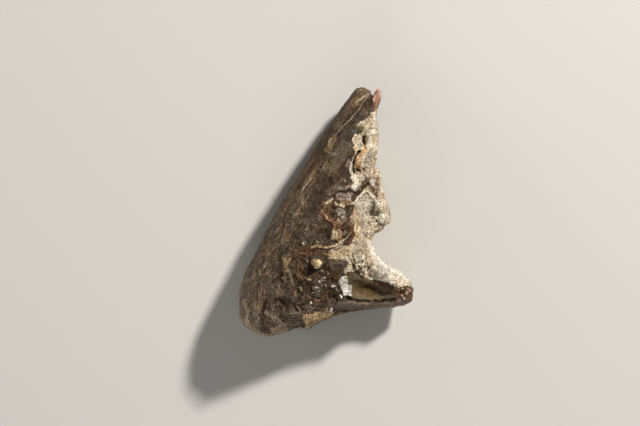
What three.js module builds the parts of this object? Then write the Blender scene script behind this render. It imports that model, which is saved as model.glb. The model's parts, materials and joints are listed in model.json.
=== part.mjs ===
// A fragment of a fossil marine animal skull, one piece of mineralised bone with sediment in its breaks.
//
// Millimetres, +Z up. The fragment lies on its worn back, which is flat at z = 0. +Y points along it to the
// narrow end, and +X to the arm that is left of the cheek. The origin is under the middle of its outline.
//
// The solid is the inside of a field: field(c, x, y, z) is negative in the bone and about the distance in
// millimetres outside it. Its form comes from an outline seen from above, a top and a back surface over that
// outline, and an edge that is round on the smooth flank and abrupt where the bone is broken.
import * as THREE from "three";
import { ImprovedNoise } from "three/addons/math/ImprovedNoise.js";

// Driving dimensions.
const CELL = 0.93; // spacing of the grid that the surface is drawn on
const HEEL = [-16.5, -21.4]; // where the smooth flank ends, at the wide end
const FLANK_TURN = THREE.MathUtils.degToRad(58.6); // the flank's direction, from +X
const CREST_TOP = 15.9; // highest line of the top, at the heel
const CREST_DROP = 0.0029; // how fast that line falls towards the narrow end, per mm squared
const CREST_OFFSET = 7; // how far the crest runs from the flank
const SIDE_SLOPE = 0.34; // fall of the top from the crest to the broken side
const NARROW = [22, 50]; // where the wide end turns into the narrow one, along the flank
const ARM = [13, 22]; // where the body turns into the arm and the spike, across the flank
const BONE_WALL = 0.9; // thickness of the outer bone, which is missing over the sediment

// Radius of the edge, seen from its end.
const FLANK_ROUND = 8;
const TIP_ROUND = 3;
const BREAK_ROUND = 2.2;
const LOWER_ROUND = 5;

// Height of the widest line round the fragment.
const WAIST_BODY = 7.6;
const WAIST_ARM = 5.6;
const WAIST_TIP = 6.4;

// How far the back stands off the ground.
const TIP_LIFT = 2.6;
const ARM_LIFT = 2.2;
const WORN = 0.35; // how much of the back is worn away, which leaves the flat it lies on

// Size of the lumps and hollows, from the smooth bone to the crushed crust.
const BONE_ROUGH = 0.1;
const BACK_ROUGH = 0.8;
const SEDIMENT_ROUGH = 0.8;
const CRUST_ROUGH = 1.5;
const CRUST_SINK = 0.5;
const WAIST_ROUGH = 1.6;
const BREAK_ROUGH = 1.6;

const { clamp, lerp, smoothstep } = THREE.MathUtils;
const perlin = new ImprovedNoise();

const points = (pairs) => pairs.map(([x, y]) => new THREE.Vector2(x, y));

// The outline seen from above, anticlockwise from the blunt tip. The smooth flank and heel are whole.
const FLANK = points([
  [6.3, 24.1], [5.4, 23.3], [0.9, 17.0], [-4.2, 8.9], [-8.9, 1.4], [-12.7, -6.1], [-15.3, -11.1],
  [-16.6, -14.6], [-16.8, -17.8], [-16.3, -21.4], [-14.6, -22.9], [-11.7, -24.1], [-9.2, -23.7],
  [-6.6, -22.9],
]);

// The rest is broken: the lower end, the arm, the bite above it, the spike, the side and the splinter.
const NOTCH = points([[-5.5, -22.3], [-4.5, -22.9], [-3.3, -22.7], [-2.4, -22.0]]);
const LOWER_EDGE = points([
  [1.3, -20.4], [4.4, -19.5], [9.8, -18.8], [14.0, -18.5], [16.1, -17.6], [16.9, -15.8], [16.9, -14.5],
]);
const ARM_TIP = points([[16.2, -13.6], [15.5, -12.9], [15.0, -12.0]]);
const BITE = points([
  [13.0, -10.9], [10.4, -9.2], [9.2, -7.3], [8.7, -5.8], [8.9, -4.8], [10.2, -3.8], [12.6, -2.0],
]);
const SPIKE = points([
  [12.5, -0.7], [12.1, 1.2], [11.4, 2.6], [11.2, 3.8], [10.6, 5.2], [10.7, 7.3], [10.0, 8.3], [9.3, 8.7],
]);
const SIDE = points([[9.8, 9.7], [9.9, 12.0], [10.2, 14.0], [9.9, 16.5], [9.7, 18.8]]);
const SPLINTER = points([
  [10.1, 20.4], [10.7, 21.8], [10.6, 23.2], [10.2, 23.7], [9.6, 23.2], [8.9, 22.8], [8.3, 23.5], [7.3, 24.0],
]);

const flank = new THREE.SplineCurve(FLANK).getPoints(60);
const broken = (() => {
  const edge = new THREE.Path();
  edge.moveTo(flank.at(-1).x, flank.at(-1).y);
  edge.lineTo(NOTCH[0].x, NOTCH[0].y);
  edge.splineThru(NOTCH.slice(1));
  edge.splineThru(LOWER_EDGE);
  for (const p of ARM_TIP) edge.lineTo(p.x, p.y);
  edge.splineThru(BITE);
  for (const p of [...SPIKE, ...SIDE, ...SPLINTER, flank[0]]) edge.lineTo(p.x, p.y);
  return edge.getPoints(5);
})();
const outline = [...flank, ...broken.slice(1, -1)];

// Where the outer bone is gone and pale sediment shows, from the splinter down to the top of the arm.
const SEDIMENT = points([
  [8.8, 19.1], [5.9, 16.2], [5.4, 14.3], [5.1, 11.9], [4.9, 9.9], [4.8, 8.0], [4.6, 4.8], [5.3, 3.6],
  [5.1, 1.6], [5.4, -0.4], [5.1, -3.0], [3.9, -6.0], [0.7, -7.0], [-0.6, -8.4], [0.7, -9.2], [4.0, -9.4],
  [4.6, -12.2], [7.2, -12.3], [9.1, -13.3], [12.3, -14.2], [14.3, -13.9], [20.0, -13.5], [20.0, 19.1],
]);

// Where the surface is crushed and crusted, beside and below the sediment.
const CRUST = points([
  [-0.6, 2.2], [4.9, 2.2], [4.6, -2.3], [5.1, -3.7], [3.5, -6.0], [0.7, -7.0], [-0.6, -8.4], [0.7, -9.2],
  [4.0, -9.8], [3.0, -12.9], [2.6, -17.8], [-4.1, -18.4], [-6.4, -15.8], [-6.0, -11.6], [-4.4, -9.4],
  [-3.4, -6.6], [-1.2, -3.2],
]);

// Hollows and rises of the top: middle, reach along and across, direction in degrees, and rise in mm.
const TOP_RELIEF = [
  { name: "trough beside the crest", at: [-0.6, 4.8], reach: [11, 3.2], turn: 61, rise: -1.2 },
  { name: "hollow of the tip", at: [8.1, 20.4], reach: [4.0, 1.6], turn: 57, rise: -0.6 },
  { name: "slit in the sediment", at: [7.0, 13.8], reach: [2.4, 1.5], turn: 105, rise: -1.6 },
  { name: "canal wall", at: [6.6, 10.2], reach: [3.4, 1.6], turn: 60, rise: 1.2 },
  { name: "mouth of the canal", at: [6.0, 7.4], reach: [1.8, 1.6], turn: 0, rise: -1.5 },
  { name: "layers above the socket", at: [7.2, 4.8], reach: [3.8, 1.6], turn: 42, rise: 0.6 },
  { name: "rim of the socket", at: [5.6, 2.6], reach: [3.6, 1.6], turn: 38, rise: 1.1 },
  { name: "socket", at: [7.6, -0.4], reach: [4.0, 2.9], turn: 82, rise: -2.4 },
  { name: "edge of the spike", at: [10.8, 1.8], reach: [6.2, 1.7], turn: 107, rise: 1.0 },
  { name: "red band", at: [4.4, -1.2], reach: [5.0, 1.6], turn: 86, rise: 0.9 },
  { name: "pale lump", at: [1.5, -4.2], reach: [2.0, 1.8], turn: 20, rise: 0.9 },
  { name: "nodule", at: [-1.8, -9.9], reach: [2.1, 1.9], turn: 20, rise: 1.3 },
  { name: "small knob", at: [-7.6, -9.9], reach: [2.6, 1.6], turn: 80, rise: 0.8 },
  { name: "scar under the knob", at: [-8.4, -13.2], reach: [3.2, 1.7], turn: 100, rise: -0.9 },
  { name: "pit of the heel", at: [-8.6, -17.6], reach: [2.2, 1.8], turn: 0, rise: -1.1 },
  { name: "groove of the heel", at: [-11.9, -18.8], reach: [5.0, 1.6], turn: 96, rise: -1.1 },
  { name: "pocket of the heel", at: [-11.5, -22.2], reach: [2.2, 1.8], turn: 0, rise: -1.5 },
  { name: "fold of the heel", at: [-9.9, -20.6], reach: [3.2, 1.6], turn: -40, rise: 1.1 },
  { name: "layered ledge", at: [-6.4, -20.0], reach: [4.2, 1.6], turn: -10, rise: 0.9 },
  { name: "lip of the heel", at: [-15.0, -18.9], reach: [3.8, 1.6], turn: 98, rise: 0.7 },
  { name: "lower shelf", at: [-1.4, -19.6], reach: [5.0, 2.0], turn: 22, rise: -1.1 },
  { name: "ridge of the neck", at: [6.7, -6.8], reach: [5.0, 2.2], turn: 82, rise: 1.0 },
  { name: "crest of the arm", at: [11.6, -11.6], reach: [6.8, 2.4], turn: -36, rise: 2.0 },
  { name: "trough of the arm", at: [8.8, -15.4], reach: [7.2, 2.8], turn: -12, rise: -3.2 },
  { name: "lip of the arm", at: [9.0, -18.0], reach: [8.6, 1.7], turn: -2, rise: 1.5 },
];

// The same for the back, where a rise is towards the inside of the bone.
const BACK_RELIEF = [
  { name: "inner vault", at: [3.0, 3.5], reach: [11, 3.0], turn: 66, rise: 2.4 },
  { name: "groove of the back", at: [-9.8, -13.5], reach: [8, 1.8], turn: 64, rise: 1.2 },
  { name: "socket of the cheek", at: [4.6, -13.2], reach: [4.6, 3.0], turn: 10, rise: 2.0 },
];

// Flakes that are gone from the sides: middle, reach along each axis, and depth in mm.
const CHIPS = [
  { name: "flake under the ledge", at: [-5.0, -22.8, 12.0], reach: [6.0, 3.2, 3.2], depth: 2.2 },
  { name: "flake beside the notch", at: [1.8, -21.2, 4.2], reach: [5.5, 3.4, 3.0], depth: 2.0 },
  { name: "chip of the heel", at: [-12.5, -24.0, 2.6], reach: [4.0, 3.4, 3.0], depth: 1.8 },
  { name: "hollow under the lip", at: [9.5, -19.6, 8.6], reach: [5.0, 2.4, 2.6], depth: 1.4 },
  { name: "undercut of the spike", at: [12.6, 0.6, 2.6], reach: [2.6, 4.2, 3.2], depth: 1.6 },
  { name: "chip of the side", at: [11.0, 13.4, 3.6], reach: [2.6, 4.2, 2.4], depth: 1.4 },
];

// Distance from (x, y) to a line of points.
function distanceTo(line, x, y) {
  let nearest = Infinity;
  for (let i = 1; i < line.length; i++) {
    const a = line[i - 1];
    const b = line[i];
    const run = (b.x - a.x) ** 2 + (b.y - a.y) ** 2;
    const t = run ? clamp(((x - a.x) * (b.x - a.x) + (y - a.y) * (b.y - a.y)) / run, 0, 1) : 0;
    nearest = Math.min(nearest, Math.hypot(x - lerp(a.x, b.x, t), y - lerp(a.y, b.y, t)));
  }
  return nearest;
}

// Depth of (x, y) inside a closed line of points, negative outside it.
function depthIn(line, x, y) {
  let inside = false;
  for (let i = 0, j = line.length - 1; i < line.length; j = i++) {
    const a = line[i];
    const b = line[j];
    if (a.y > y !== b.y > y && x < ((b.x - a.x) * (y - a.y)) / (b.y - a.y) + a.x) inside = !inside;
  }
  return (inside ? 1 : -1) * distanceTo([...line, line[0]], x, y);
}

// A smooth hump, 1 at its middle and 0 past its reach, stretched along its direction.
function hump(x, y, { at, reach, turn }) {
  const angle = THREE.MathUtils.degToRad(turn);
  const u = ((x - at[0]) * Math.cos(angle) + (y - at[1]) * Math.sin(angle)) / reach[0];
  const v = ((y - at[1]) * Math.cos(angle) - (x - at[0]) * Math.sin(angle)) / reach[1];
  return smoothstep(1 - Math.hypot(u, v), 0, 1);
}

const relief = (list, x, y) => list.reduce((sum, r) => sum + r.rise * hump(x, y, r), 0);

// Noise of a given grain size with finer grains of half the size in it, about -1 to 1.
function noise(x, y, z, grain) {
  const at = (size) => perlin.noise(x / size + 7, y / size + 11, z / size + 13);
  return 0.75 * at(grain) + 0.3 * at(grain / 2);
}

// Everything that depends on x and y alone: the top, the back, and the edge between them.
function column(x, y) {
  const [hx, hy] = HEEL;
  const along = (x - hx) * Math.cos(FLANK_TURN) + (y - hy) * Math.sin(FLANK_TURN);
  const across = (x - hx) * Math.sin(FLANK_TURN) - (y - hy) * Math.cos(FLANK_TURN);
  const narrow = smoothstep(along, ...NARROW);
  const arm = smoothstep(across, ...ARM);
  const rough = noise(x, y, 0, 3.6);

  // How much the nearest edge is the whole flank, and not a broken one.
  const toFlank = distanceTo(flank, x, y) ** 2;
  const toBreak = distanceTo(broken, x, y) ** 2;
  const whole = toBreak / (toFlank + toBreak + 1e-6);

  const crest = CREST_TOP - CREST_DROP * along ** 2;
  const slope = SIDE_SLOPE * Math.max(0, across - CREST_OFFSET);
  const sediment = smoothstep(depthIn(SEDIMENT, x, y), -0.5, 0.7) * (SEDIMENT_ROUGH * rough - BONE_WALL);
  const crust = smoothstep(depthIn(CRUST, x, y), -0.4, 1.4) * (CRUST_ROUGH * rough - CRUST_SINK);
  const top = crest - slope + relief(TOP_RELIEF, x, y) + sediment + crust;

  const lift = TIP_LIFT * smoothstep(along, 26, 48) + ARM_LIFT * arm;
  const back = lift + relief(BACK_RELIEF, x, y) + BACK_ROUGH * rough - WORN;

  const level = lerp(lerp(WAIST_BODY, WAIST_ARM, arm), WAIST_TIP, narrow);
  const waist = level + (1 - whole) * WAIST_ROUGH * noise(x, y, 5, 5);

  // The broken end under the heel is rounder than the other breaks.
  const lower = smoothstep(-y, 14, 20) * (1 - smoothstep(x, 6, 13));
  const round = lerp(lerp(BREAK_ROUND, LOWER_ROUND, lower), lerp(FLANK_ROUND, TIP_ROUND, narrow), whole);
  return { depth: depthIn(outline, x, y), top, back, waist, whole, round };
}

// The field at a height z over a column c. Its section is a rounded block, whose edge is a superellipse.
function field(c, x, y, z) {
  const thickness = z > c.waist ? c.top - c.waist : c.waist - c.back;
  const height = Math.abs(z - c.waist) / thickness;
  const edge = Math.max(0, 1 - c.depth / c.round);
  const power = lerp(2.8, 2.1, c.whole);
  const reach = (edge ** power + height ** power) ** (1 / power);
  const form = (reach - 1) * Math.min(c.round, thickness);

  // Breaks and flakes only take bone away, and leave the widest line where it is.
  const clear = (1 - c.whole) * smoothstep(Math.abs(z - c.waist), 0, 2.5);
  const flakes = CHIPS.reduce((sum, { at, reach: r, depth }) => {
    const away = Math.hypot((x - at[0]) / r[0], (y - at[1]) / r[1], (z - at[2]) / r[2]);
    return sum + depth * smoothstep(1 - away, 0, 1);
  }, 0);
  const breaks = BREAK_ROUGH * Math.abs(noise(x, y, z, 5.5)) + flakes;
  return Math.max(form + clear * breaks + BONE_ROUGH * noise(x, y, z, 4), -z);
}

// Where two cells of bone touch only along an edge, fills a third, so that no four faces share that edge.
function fillDiagonals(values, [nx, ny, nz], at) {
  const planes = [[[1, 0, 0], [0, 1, 0]], [[0, 1, 0], [0, 0, 1]], [[0, 0, 1], [1, 0, 0]]];
  for (let filled = true; filled; ) {
    filled = false;
    for (let k = 0; k < nz - 1; k++)
      for (let j = 0; j < ny - 1; j++)
        for (let i = 0; i < nx - 1; i++)
          for (const [s, t] of planes) {
            const square = [[0, 0], [1, 0], [1, 1], [0, 1]].map(([m, n]) =>
              at(i + m * s[0] + n * t[0], j + m * s[1] + n * t[1], k + m * s[2] + n * t[2]));
            const [a, b, c, d] = square.map((n) => values[n] < 0);
            if (a !== c || b !== d || a === b) continue;
            const open = square.filter((n) => values[n] >= 0);
            values[open.reduce((p, q) => (values[p] < values[q] ? p : q))] = -CELL / 20;
            filled = true;
          }
  }
}

// Moves a point along the field's slope towards the surface.
function approach(p, step) {
  const value = (dx, dy, dz) => field(column(p.x + dx, p.y + dy), p.x + dx, p.y + dy, p.z + dz);
  const here = value(0, 0, 0);
  const slope = new THREE.Vector3(value(step, 0, 0), value(0, step, 0), value(0, 0, step));
  slope.subScalar(here).divideScalar(step);
  p.addScaledVector(slope, -here / Math.max(slope.lengthSq(), 0.3));
}

// Evens out the vertices and sets them on the surface, each within half a cell of where it began.
function settle(vertices, squares, cell) {
  const near = vertices.map(() => new Set());
  for (const square of squares)
    square.forEach((v, n) => {
      const next = square[(n + 1) % 4];
      near[v].add(next);
      near[next].add(v);
    });
  const starts = vertices.map((v) => v.clone());
  for (let round = 0; round < 3; round++) {
    const middles = near.map((set) => {
      const middle = new THREE.Vector3();
      for (const n of set) middle.addScaledVector(vertices[n], 1 / set.size);
      return middle;
    });
    vertices.forEach((v, n) => {
      v.lerp(middles[n], 0.5);
      if (starts[n].z > cell / 8) approach(v, cell / 8);
      else v.z = 0;
      v.sub(starts[n]).clampLength(0, cell / 2).add(starts[n]);
      v.z = Math.max(v.z, 0);
    });
  }
}

// Draws the surface where the field is 0: one vertex for each cell that the surface crosses, at the middle of
// its crossings, and one square for each edge that it crosses, split along its shorter diagonal.
function surface(low, high, cell) {
  const count = low.map((v, i) => Math.ceil((high[i] - v) / cell) + 1);
  const [nx, ny, nz] = count;
  const at = (i, j, k) => (k * ny + j) * nx + i;
  const values = new Float32Array(nx * ny * nz);
  for (let j = 0; j < ny; j++)
    for (let i = 0; i < nx; i++) {
      const [x, y] = [low[0] + i * cell, low[1] + j * cell];
      const c = column(x, y);
      for (let k = 0; k < nz; k++) values[at(i, j, k)] = field(c, x, y, low[2] + k * cell);
    }

  fillDiagonals(values, count, at);

  const vertices = [];
  const vertexOf = new Map();
  const corners = [...Array(8)].map((_, n) => new THREE.Vector3(n & 1, (n >> 1) & 1, n >> 2));
  for (let k = 0; k < nz - 1; k++)
    for (let j = 0; j < ny - 1; j++)
      for (let i = 0; i < nx - 1; i++) {
        const crossings = [];
        const inner = corners.map((c) => values[at(i + c.x, j + c.y, k + c.z)]);
        for (let a = 0; a < 8; a++)
          for (let bit = 1; bit < 8; bit <<= 1) {
            if (a & bit || inner[a] < 0 === inner[a | bit] < 0) continue;
            const t = inner[a] / (inner[a] - inner[a | bit]);
            crossings.push(corners[a].clone().lerp(corners[a | bit], t));
          }
        if (!crossings.length) continue;
        const middle = new THREE.Vector3(i, j, k);
        for (const c of crossings) middle.addScaledVector(c, 1 / crossings.length);
        vertexOf.set(at(i, j, k), vertices.length);
        vertices.push(middle.multiplyScalar(cell).add(new THREE.Vector3(...low)));
      }

  const squares = [];
  const steps = [[1, 0, 0], [0, 1, 0], [0, 0, 1]];
  for (let k = 1; k < nz - 1; k++)
    for (let j = 1; j < ny - 1; j++)
      for (let i = 1; i < nx - 1; i++)
        steps.forEach(([di, dj, dk], axis) => {
          const inside = values[at(i, j, k)] < 0;
          if (inside === values[at(i + di, j + dj, k + dk)] < 0) return;
          const [s, t] = [steps[(axis + 1) % 3], steps[(axis + 2) % 3]];
          const ring = [[0, 0], [1, 0], [1, 1], [0, 1]].map(([m, n]) =>
            vertexOf.get(at(i - m * s[0] - n * t[0], j - m * s[1] - n * t[1], k - m * s[2] - n * t[2])));
          squares.push(inside ? ring : ring.reverse());
        });

  settle(vertices, squares, cell);

  const faces = squares.flatMap(([a, b, c, d]) =>
    vertices[a].distanceTo(vertices[c]) < vertices[b].distanceTo(vertices[d])
      ? [a, b, c, a, c, d]
      : [a, b, d, b, c, d]);
  return new THREE.BufferGeometry().setFromPoints(vertices).setIndex(faces);
}

const bone = new THREE.MeshStandardMaterial({ color: 0x6b5d4c, roughness: 0.72, metalness: 0 });
const skull = new THREE.Mesh(surface([-18.2, -25.6, -1.2], [18.6, 25.6, 18.4], CELL), bone);
skull.name = "skull";

const specimen = new THREE.Group();
specimen.add(skull);
export default specimen;
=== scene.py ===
"""A fossil marine animal skull: the finished look of the fragment, and the stage it lies on."""

import json

import bpy
import numpy as np
from bpy.props import FloatProperty, FloatVectorProperty, PointerProperty
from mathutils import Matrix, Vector, noise

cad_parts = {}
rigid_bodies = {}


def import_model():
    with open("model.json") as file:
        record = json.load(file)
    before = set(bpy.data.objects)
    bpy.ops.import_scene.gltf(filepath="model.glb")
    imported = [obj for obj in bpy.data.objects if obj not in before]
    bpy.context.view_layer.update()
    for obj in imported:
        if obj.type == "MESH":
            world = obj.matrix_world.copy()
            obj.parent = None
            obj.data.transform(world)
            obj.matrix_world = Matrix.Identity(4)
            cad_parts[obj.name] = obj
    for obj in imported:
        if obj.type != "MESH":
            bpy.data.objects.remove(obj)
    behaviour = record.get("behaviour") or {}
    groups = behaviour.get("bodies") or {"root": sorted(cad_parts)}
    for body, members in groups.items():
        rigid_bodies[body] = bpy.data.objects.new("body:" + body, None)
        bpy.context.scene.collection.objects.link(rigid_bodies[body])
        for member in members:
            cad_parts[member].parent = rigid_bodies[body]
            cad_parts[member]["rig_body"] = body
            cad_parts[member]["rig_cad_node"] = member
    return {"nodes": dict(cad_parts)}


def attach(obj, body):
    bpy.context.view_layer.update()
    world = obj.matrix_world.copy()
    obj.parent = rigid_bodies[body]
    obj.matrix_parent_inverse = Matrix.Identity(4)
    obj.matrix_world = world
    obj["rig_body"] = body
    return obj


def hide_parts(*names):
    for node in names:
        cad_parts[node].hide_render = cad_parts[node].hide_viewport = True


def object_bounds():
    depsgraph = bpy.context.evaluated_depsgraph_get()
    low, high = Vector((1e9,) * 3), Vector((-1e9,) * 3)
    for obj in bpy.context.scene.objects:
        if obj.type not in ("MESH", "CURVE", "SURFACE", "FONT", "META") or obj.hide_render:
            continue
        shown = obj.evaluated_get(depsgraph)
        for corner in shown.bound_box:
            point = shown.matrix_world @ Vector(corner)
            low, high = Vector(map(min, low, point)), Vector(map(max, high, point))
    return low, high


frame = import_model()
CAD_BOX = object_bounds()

bl_info = {
    "name": "Fossil Marine Animal Skull",
    "version": (1, 0, 0),
    "blender": (4, 5, 0),
    "location": "View3D > Sidebar > Fossil",
    "description": "Dresses the solid of a fossil skull fragment as bone and sediment, and lights it",
    "category": "Add Mesh",
}

MM = 0.001
PIECE = "skull_surface"
NODE = "skull"
TRIANGLES = 192_000  # of the finished surface
FINER = 0.78  # size of the second grid's faces as a share of the first's
LEVELS = 200  # steps from no weight to full weight
CUTTER_HEIGHT, CUTTER_MIDDLE = 30, 8  # of what cuts the gaps, in mm
ROOM_OVER, ROOM_UNDER = 0.05, 0.02  # left between the relief and the solid's top and underside, in mm
RISE_LIMITS = (-0.9, 0.6)  # of the marks together, in mm
PATCH_RISE = 0.3  # of the white patch, in mm
STEEPEST = 0.3  # the least part of a normal that counts as up or down
CALMED = 0.75  # share of the relief that a calm spot loses
CRUST_STRENGTH = 0.8  # of the crust's own marks
POINT_REACH = 0.85  # how far the splinter's end is drawn out, in mm
NEAR, FAR = 6, 60  # rounds of levelling that tell small hollows and large ones
ACROSS = 0.86  # width across the bone as a share of its width in the plan
SCATTER, SPREAD = (12.9898, 78.233, 37.719), 43758.5  # turn the place of a grain into a number of its own
SHINE = 0.14  # specular level of the bone and the stone
FLOOR_ROUGHNESS = 0.8
CAMERA_PLAN = (-0.0012, -0.0003)  # where the camera hangs over the floor, in m
SENSOR = 36  # width of the camera's sensor, in mm
WORLD_COLOUR, WORLD_POWER = (1.0, 0.99, 0.97, 1), 0.08
LIGHTS = (  # name, place in m, side in m, power in W and colour
    ("key", (0.36, 0.42, 0.42), 0.07, 6.8, (1.0, 0.96, 0.90)),
    ("fill", (-0.5, -0.2, 0.22), 0.35, 0.55, (1.0, 0.95, 0.88)),
    ("low", (-0.15, -0.6, 0.2), 0.3, 1.3, (1.0, 0.98, 0.95)),
    ("rim", (-0.62, 0.1, 0.09), 0.25, 0.75, (1.0, 0.98, 0.95)),
    ("top", (0.0, -0.25, 0.75), 0.5, 0.35, (1.0, 1.0, 1.0)),
)

# The edge of the smooth flank seen from above, from the blunt tip to the heel, in mm.
FLANK_EDGE = [
    (6.0, 24.1), (0.9, 17.0), (-4.2, 8.9), (-8.9, 1.4), (-12.7, -6.1), (-15.3, -11.1), (-16.6, -14.6),
    (-16.9, -17.8), (-16.9, -24.1),
]
FLANK_END = (12.5, 15.5)  # where it gives way to the breaks, in mm from its edge
FLANK_ROUND = 8.0  # radius of its round side, in mm
WAIST = 7.6  # height of its widest line, in mm

# How the strokes are drawn.
LINE_RADIUS = 0.29  # those thinner than this are drawn as lines, in mm
FAINT = 0.65  # and so are fainter ones
LINED = {"gold", "umber"}  # and these, whatever their radius
LINE_SWAY = (0.15, 0.09)  # how far lines stray on long and on short runs, in mm
SPOT_SWAY = (0.2, 0.06)  # and spots
SPOT_GRAIN = 0.36  # size of the grains that give broader strokes their outline, in mm
GATHER = 0.6  # how closely they keep to those grains, 0 to 1

# Where pale sediment fills the broken side, seen from above, in mm.
SEDIMENT = [
    (8.9, 20.0), (8.5, 19.0), (8.0, 18.1), (6.6, 17.3), (5.8, 16.4), (6.8, 15.4), (5.2, 14.6), (5.1, 12.3),
    (5.6, 11.6), (5.0, 10.0), (4.5, 8.6), (4.6, 7.0), (4.8, 5.4), (4.4, 4.7), (5.0, 3.9), (5.9, 3.6),
    (5.4, 1.9), (5.4, 0.8), (5.1, -0.6), (4.4, -1.2), (4.9, -2.2), (5.2, -3.4), (5.4, -4.6), (4.8, -6.0),
    (4.0, -6.6), (2.4, -6.5), (1.2, -7.2), (0.6, -7.6), (1.0, -8.2), (0.4, -8.9), (1.8, -9.3), (3.9, -9.5),
    (4.1, -10.2), (3.2, -11.5), (5.2, -11.8), (6.2, -11.2), (6.9, -12.3), (7.6, -13.0), (8.3, -12.8),
    (8.9, -13.1), (10.2, -13.1), (12.5, -14.1), (14.0, -14.7), (15.5, -14.4), (17.5, -14.4), (19.0, -8.0),
    (19.0, 20.0),
]

# The smooth olive floor of the arm's trough, seen from above, in mm.
TROUGH = [
    (4.2, -12.2), (5.3, -11.8), (6.4, -12.0), (7.2, -12.9), (8.9, -13.2), (10.3, -13.1), (12.5, -14.1),
    (14.0, -15.0), (14.6, -16.6), (14.8, -17.2), (11.0, -17.4), (8.0, -17.4), (5.0, -16.9), (4.9, -14.2),
    (4.1, -13.8),
]

# The splinter beside the tip, seen from above, in mm.
SPLINTER = [
    (10.05, 23.9), (9.35, 23.1), (9.1, 22.2), (9.0, 21.3), (8.85, 20.5), (8.8, 19.8), (9.2, 19.5),
    (9.7, 19.9), (10.1, 21.0), (10.6, 22.0), (10.75, 22.8), (10.6, 23.6),
]

# The colours that a user would change: name, sRGB, and what has it.
COLOURS = {
    "bone": ((84, 68, 52), "Smooth outer bone of the flank"),
    # bone_dark also paints shade on the sides and the underside.
    "bone_dark": ((48, 38, 26), "Inner bone beside the crease"),
    "bone_red": ((96, 70, 54), "Reddish stain in the bone"),
    "bone_grey": ((100, 89, 74), "Grey bone"),
    "sediment": ((226, 206, 172), "Pale sediment in the breaks"),
    "tan": ((202, 168, 124), "Tan cement between bone and sediment"),
    # white also paints the glints of small grains.
    "white": ((248, 239, 223), "White mineral"),
    "ochre": ((130, 103, 63), "Ochre stain"),
    "olive": ((106, 89, 60), "Olive floor of the trough"),
    "rust": ((108, 66, 42), "Rust stain"),
    "red": ((74, 42, 30), "Dark red crust"),
    "maroon": ((66, 44, 37), "Maroon crust"),
    "crust": ((82, 59, 41), "Brown crust"),
    "flake": ((82, 67, 51), "Broken dark bone of the upper face"),
    # dark also paints the shadow in the gap along the trough's lower edge.
    "dark": ((24, 18, 12), "Dark cracks and pits"),
    "pink": ((164, 118, 95), "Pink bone of the splinter"),
    "lilac": ((158, 146, 134), "Cool grey mineral"),
    "gold": ((218, 164, 96), "Golden lining of the canal"),
    "bone_warm": ((57, 40, 24), "Warm brown bone of the upper flank"),
    "quartz": ((198, 192, 183), "Dull white mineral of the lower face"),
    # horn also paints the highlight on the heel's lit edges.
    "horn": ((148, 131, 106), "Pale line of the crease and the heel's edges"),
    "chalk": ((246, 240, 230), "Bright mineral of the arm's upper edge"),
    "rim": ((108, 91, 78), "Pinkish brown bone under the trough"),
    "teal": ((88, 92, 82), "Grey-green mineral at the edge of the sediment"),
    # umber also paints shadows: in the gaps along the trough and beside the canal, round the nodule, beside a
    # small ridge of the lower face and under a pale lump of the upper face.
    "umber": ((48, 36, 25), "Dark brown streaks of the flank"),
    "lip": ((131, 113, 97), "Pale bone of the lips"),
}

# The colours that are painted over the bone, from the lowest layer to the topmost.
LAYERS = (
    "bone_warm", "bone_dark", "bone_red", "bone_grey", "olive", "tan", "teal", "ochre", "rim", "lip", "horn",
    "pink", "gold", "sediment", "lilac", "quartz", "chalk", "umber", "maroon", "red", "rust", "white", "dark",
)
MIXED = {"tan", "teal", "ochre", "sediment", "lilac", "red", "rust", "white", "quartz", "lip"}  # seen through
CRISP = {"gold", "horn", "dark"}  # sharp at the edge
CALM_COLOURS = {"olive": 0.45, "white": 0.1, "bone_warm": 0.35, "rim": 0.5, "bone_grey": 0.15}  # few specks
SHADE_AND_DIRT, RIDGE_HIGHLIGHT = (0.36, 0.26, 0.17, 1), (0.8, 0.72, 0.6, 1)  # colours of the painted shade, with some dirt, in the hollows, and of the painted highlight on the ridges
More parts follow.
